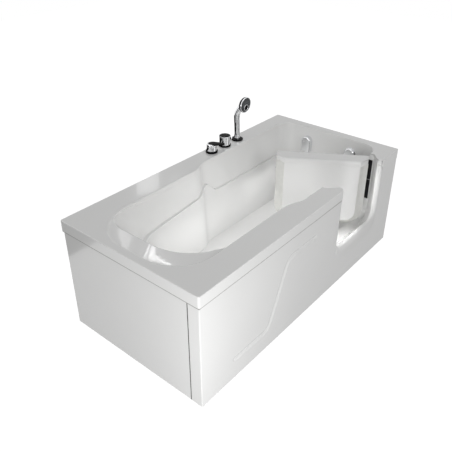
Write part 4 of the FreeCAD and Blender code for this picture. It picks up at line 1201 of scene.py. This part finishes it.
class BATHTUB_OT_stage(bpy.types.Operator):
    """Pale floor, soft light and the camera"""

    bl_idname = "bathtub.stage"
    bl_label = "Stage"

    def execute(self, context):
        sizes = context.scene.tub_stage
        make_floor(sizes.floor)
        make_flag()
        make_world(sizes.sky)
        make_lights(sizes.key_power)
        make_camera(sizes.lens)
        context.scene.view_settings.view_transform = "Standard"
        return {"FINISHED"}


def white_to_camera(tree):
    """Factor that is 1 for the rays that show the background."""
    path = add(tree, "ShaderNodeLightPath")
    level = path.outputs["Is Camera Ray"]
    for ray in ("Is Glossy Ray", "Is Transmission Ray"):
        pair = {0: level, 1: path.outputs[ray]}
        level = add(tree, "ShaderNodeMath", pair, operation="MAXIMUM").outputs["Value"]
    return level


# How bright the floor's glow is where it shows, and its share beside the paper
GLOW, GLOW_SHARE = 1.12, 0.9


def make_floor(side):
    """Pale floor that keeps the tub's shadow."""
    bm = bmesh.new()
    bmesh.ops.create_grid(bm, x_segments=1, y_segments=1, size=side / 2)
    mesh = mesh_of(bm, "floor")
    floor = link("floor", mesh)
    made, tree = bare_material("matt_white_studio_paper")
    paper = add(tree, "ShaderNodeBsdfDiffuse", {"Color": opaque(linear("#FAFAFA"))})
    level = add(tree, "ShaderNodeMath", {0: white_to_camera(tree), 1: GLOW}, operation="MULTIPLY")
    glow = add(tree, "ShaderNodeEmission", {"Strength": level.outputs["Value"]})
    shares = {"Fac": GLOW_SHARE, 1: paper.outputs["BSDF"], 2: glow.outputs["Emission"]}
    mixed = add(tree, "ShaderNodeMixShader", shares)
    add(tree, "ShaderNodeOutputMaterial", {"Surface": mixed.outputs["Shader"]})
    mesh.materials.append(made)


# The dark card, in metres
FLAG_SIZE = (3.4, 0.56)
FLAG_PLACE = (0, 0.9, 0.3)


def make_flag():
    """Dark card behind the tub that only shows in mirrors, for the dark bands in the chrome."""
    bm = bmesh.new()
    bmesh.ops.create_grid(bm, x_segments=1, y_segments=1, size=0.5)
    bmesh.ops.scale(bm, verts=bm.verts, vec=(*FLAG_SIZE, 1))
    upright = Matrix.Rotation(math.radians(90), 3, "X")
    bmesh.ops.rotate(bm, verts=bm.verts, cent=(0, 0, 0), matrix=upright)
    bmesh.ops.translate(bm, verts=bm.verts, vec=FLAG_PLACE)
    mesh = mesh_of(bm, "flag")
    flag = link("flag", mesh)
    made, shader = new_material("black_studio_flag_cloth")[:2]
    give(shader, {"Base Color": opaque(linear("#050505")), "Roughness": 1.0})
    mesh.materials.append(made)
    for ray in ("camera", "diffuse", "transmission", "shadow"):
        setattr(flag, "visible_" + ray, False)


def make_world(level):
    """Even light all round, white where it shows."""
    world = bpy.data.worlds.new("studio")
    bpy.context.scene.world = world
    world.use_nodes = True
    tree = world.node_tree
    tree.nodes.clear()
    values = {"Color": (1, 1, 1, 1), "Strength": spread(white_to_camera(tree), level, 1.0)}
    light = add(tree, "ShaderNodeBackground", values)
    add(tree, "ShaderNodeOutputWorld", {"Surface": light.outputs["Background"]})


# Soft boxes: place, aim, width and height in metres, spread in degrees, share of the key power
LAMPS = {
    "front": ((-1.3, -3.4, 2.3), (-0.3, 0.0, 0.4), 2.2, 1.4, 180, 0.38),
    "top": ((0.0, 0.0, 3.2), (0.0, 0.0, 0.6), 2.0, 1.2, 90, 0.02),
    "strip": ((3.06, 3.68, 3.28), (-0.75, -0.08, 0.6), 0.025, 0.3, 180, 0.0035),
    "patch": ((3.13, 4.39, 3.4), (-0.35, 0.38, 0.6), 0.36, 0.36, 180, 0.011),
    "fill_floor": ((-0.1, 0.0, 0.38), (-0.1, 0.0, 0.1), 0.7, 0.3, 180, 0.0046),
    "fill_foot": ((0.5, 0.15, 0.38), (0.5, 0.15, 0.1), 0.35, 0.15, 180, 0.0024),
    "fill_wall": ((-0.08, -0.16, 0.36), (-0.08, 0.3, 0.44), 0.56, 0.2, 180, 0.0072),
    "fill_door": ((0.17, -0.22, 0.4), (0.6, -0.22, 0.44), 0.12, 0.24, 120, 0.0011),
    "fill_end": ((0.5, 0.13, 0.42), (0.79, 0.1, 0.5), 0.2, 0.2, 180, 0.001),
    "fill_jamb": ((0.45, -0.4, 0.43), (0.66, -0.4, 0.42), 0.02, 0.26, 50, 0.0003),
    "fill_sill": ((0.39, -0.37, 0.5), (0.39, -0.37, 0.2), 0.2, 0.03, 36, 0.00065),
    "corner": ((-1.5, -1.3, 0.35), (-0.85, -0.42, 0.3), 0.4, 0.4, 180, 0.115),
    "head": ((-4.0, 0.6, 0.9), (-0.85, 0.1, 0.3), 1.5, 1.0, 180, 0.21),
}


def make_lights(power):
    """Soft boxes round the tub; the fills inside it don't show in mirrors."""
    for name, (place, aim, wide, high, fan, share) in LAMPS.items():
        lamp = bpy.data.lights.new(name, "AREA")
        lamp.shape = "RECTANGLE"
        lamp.size = wide
        lamp.size_y = high
        lamp.spread = math.radians(fan)
        lamp.energy = power * share
        made = link(name, lamp)
        made.visible_camera = False
        made.visible_glossy = not name.startswith("fill")
        facing = (Vector(aim) - Vector(place)).to_track_quat("-Z", "Y")
        made.matrix_world = Matrix.Translation(place) @ facing.to_matrix().to_4x4()


# The camera fitted to the photograph: its place in metres and its three directions
CAMERA_PLACE = (-2.00845, -1.527506, 1.937541)
CAMERA_RIGHT = Vector((0.6414308, -0.7671788, -0.0017874))
CAMERA_DOWN = Vector((-0.3871199, -0.321654, -0.8641047))
CAMERA_AHEAD = Vector((0.6623479, 0.5549553, -0.503309))


def make_camera(lens):
    """Camera at the photograph's angle."""
    data = bpy.data.cameras.new("camera")
    data.lens = lens
    data.sensor_width = 36
    data.sensor_fit = "HORIZONTAL"
    data.shift_y = -0.05
    camera = link("camera", data)
    turn = Matrix((CAMERA_RIGHT, -CAMERA_DOWN, -CAMERA_AHEAD)).transposed()
    camera.matrix_world = Matrix.Translation(CAMERA_PLACE) @ turn.to_4x4()
    bpy.context.scene.camera = camera


# Panel and registration

class BATHTUB_PT_pieces(bpy.types.Panel):
    """Lists the pieces of the bathtub"""

    bl_idname = "BATHTUB_PT_pieces"
    bl_label = "Walk-in bathtub"
    bl_space_type = "VIEW_3D"
    bl_region_type = "UI"
    bl_category = "Bathtub"

    def draw(self, context):
        for operator in OPERATORS:
            self.layout.operator(operator.bl_idname)


GROUPS = {
    "tub_shell": ShellSizes,
    "tub_taps": TapSizes,
    "tub_colours": FinishColours,
    "tub_stage": StageSizes,
}
OPERATORS = (
    BATHTUB_OT_shell,
    BATHTUB_OT_panels,
    BATHTUB_OT_lip_seal,
    BATHTUB_OT_doorway,
    BATHTUB_OT_door,
    BATHTUB_OT_hinges,
    BATHTUB_OT_taps,
    BATHTUB_OT_hand_shower,
    BATHTUB_OT_foot_wall,
    BATHTUB_OT_waste,
    BATHTUB_OT_pipes,
    BATHTUB_OT_steelwork,
    BATHTUB_OT_stage,
)


def register():
    """Add the settings, the operators and the panel."""
    for group in GROUPS.values():
        bpy.utils.register_class(group)
    for name, group in GROUPS.items():
        setattr(bpy.types.Scene, name, bpy.props.PointerProperty(type=group))
    for operator in OPERATORS:
        bpy.utils.register_class(operator)
    bpy.utils.register_class(BATHTUB_PT_pieces)


def unregister():
    """Take away what register added."""
    bpy.utils.unregister_class(BATHTUB_PT_pieces)
    for operator in reversed(OPERATORS):
        bpy.utils.unregister_class(operator)
    for name in GROUPS:
        delattr(bpy.types.Scene, name)
    for group in GROUPS.values():
        bpy.utils.unregister_class(group)


def main():
    """Make every piece."""
    register()
    for operator in OPERATORS:
        group, name = operator.bl_idname.split(".")
        getattr(getattr(bpy.ops, group), name)()


if __name__ == "__main__":
    main()
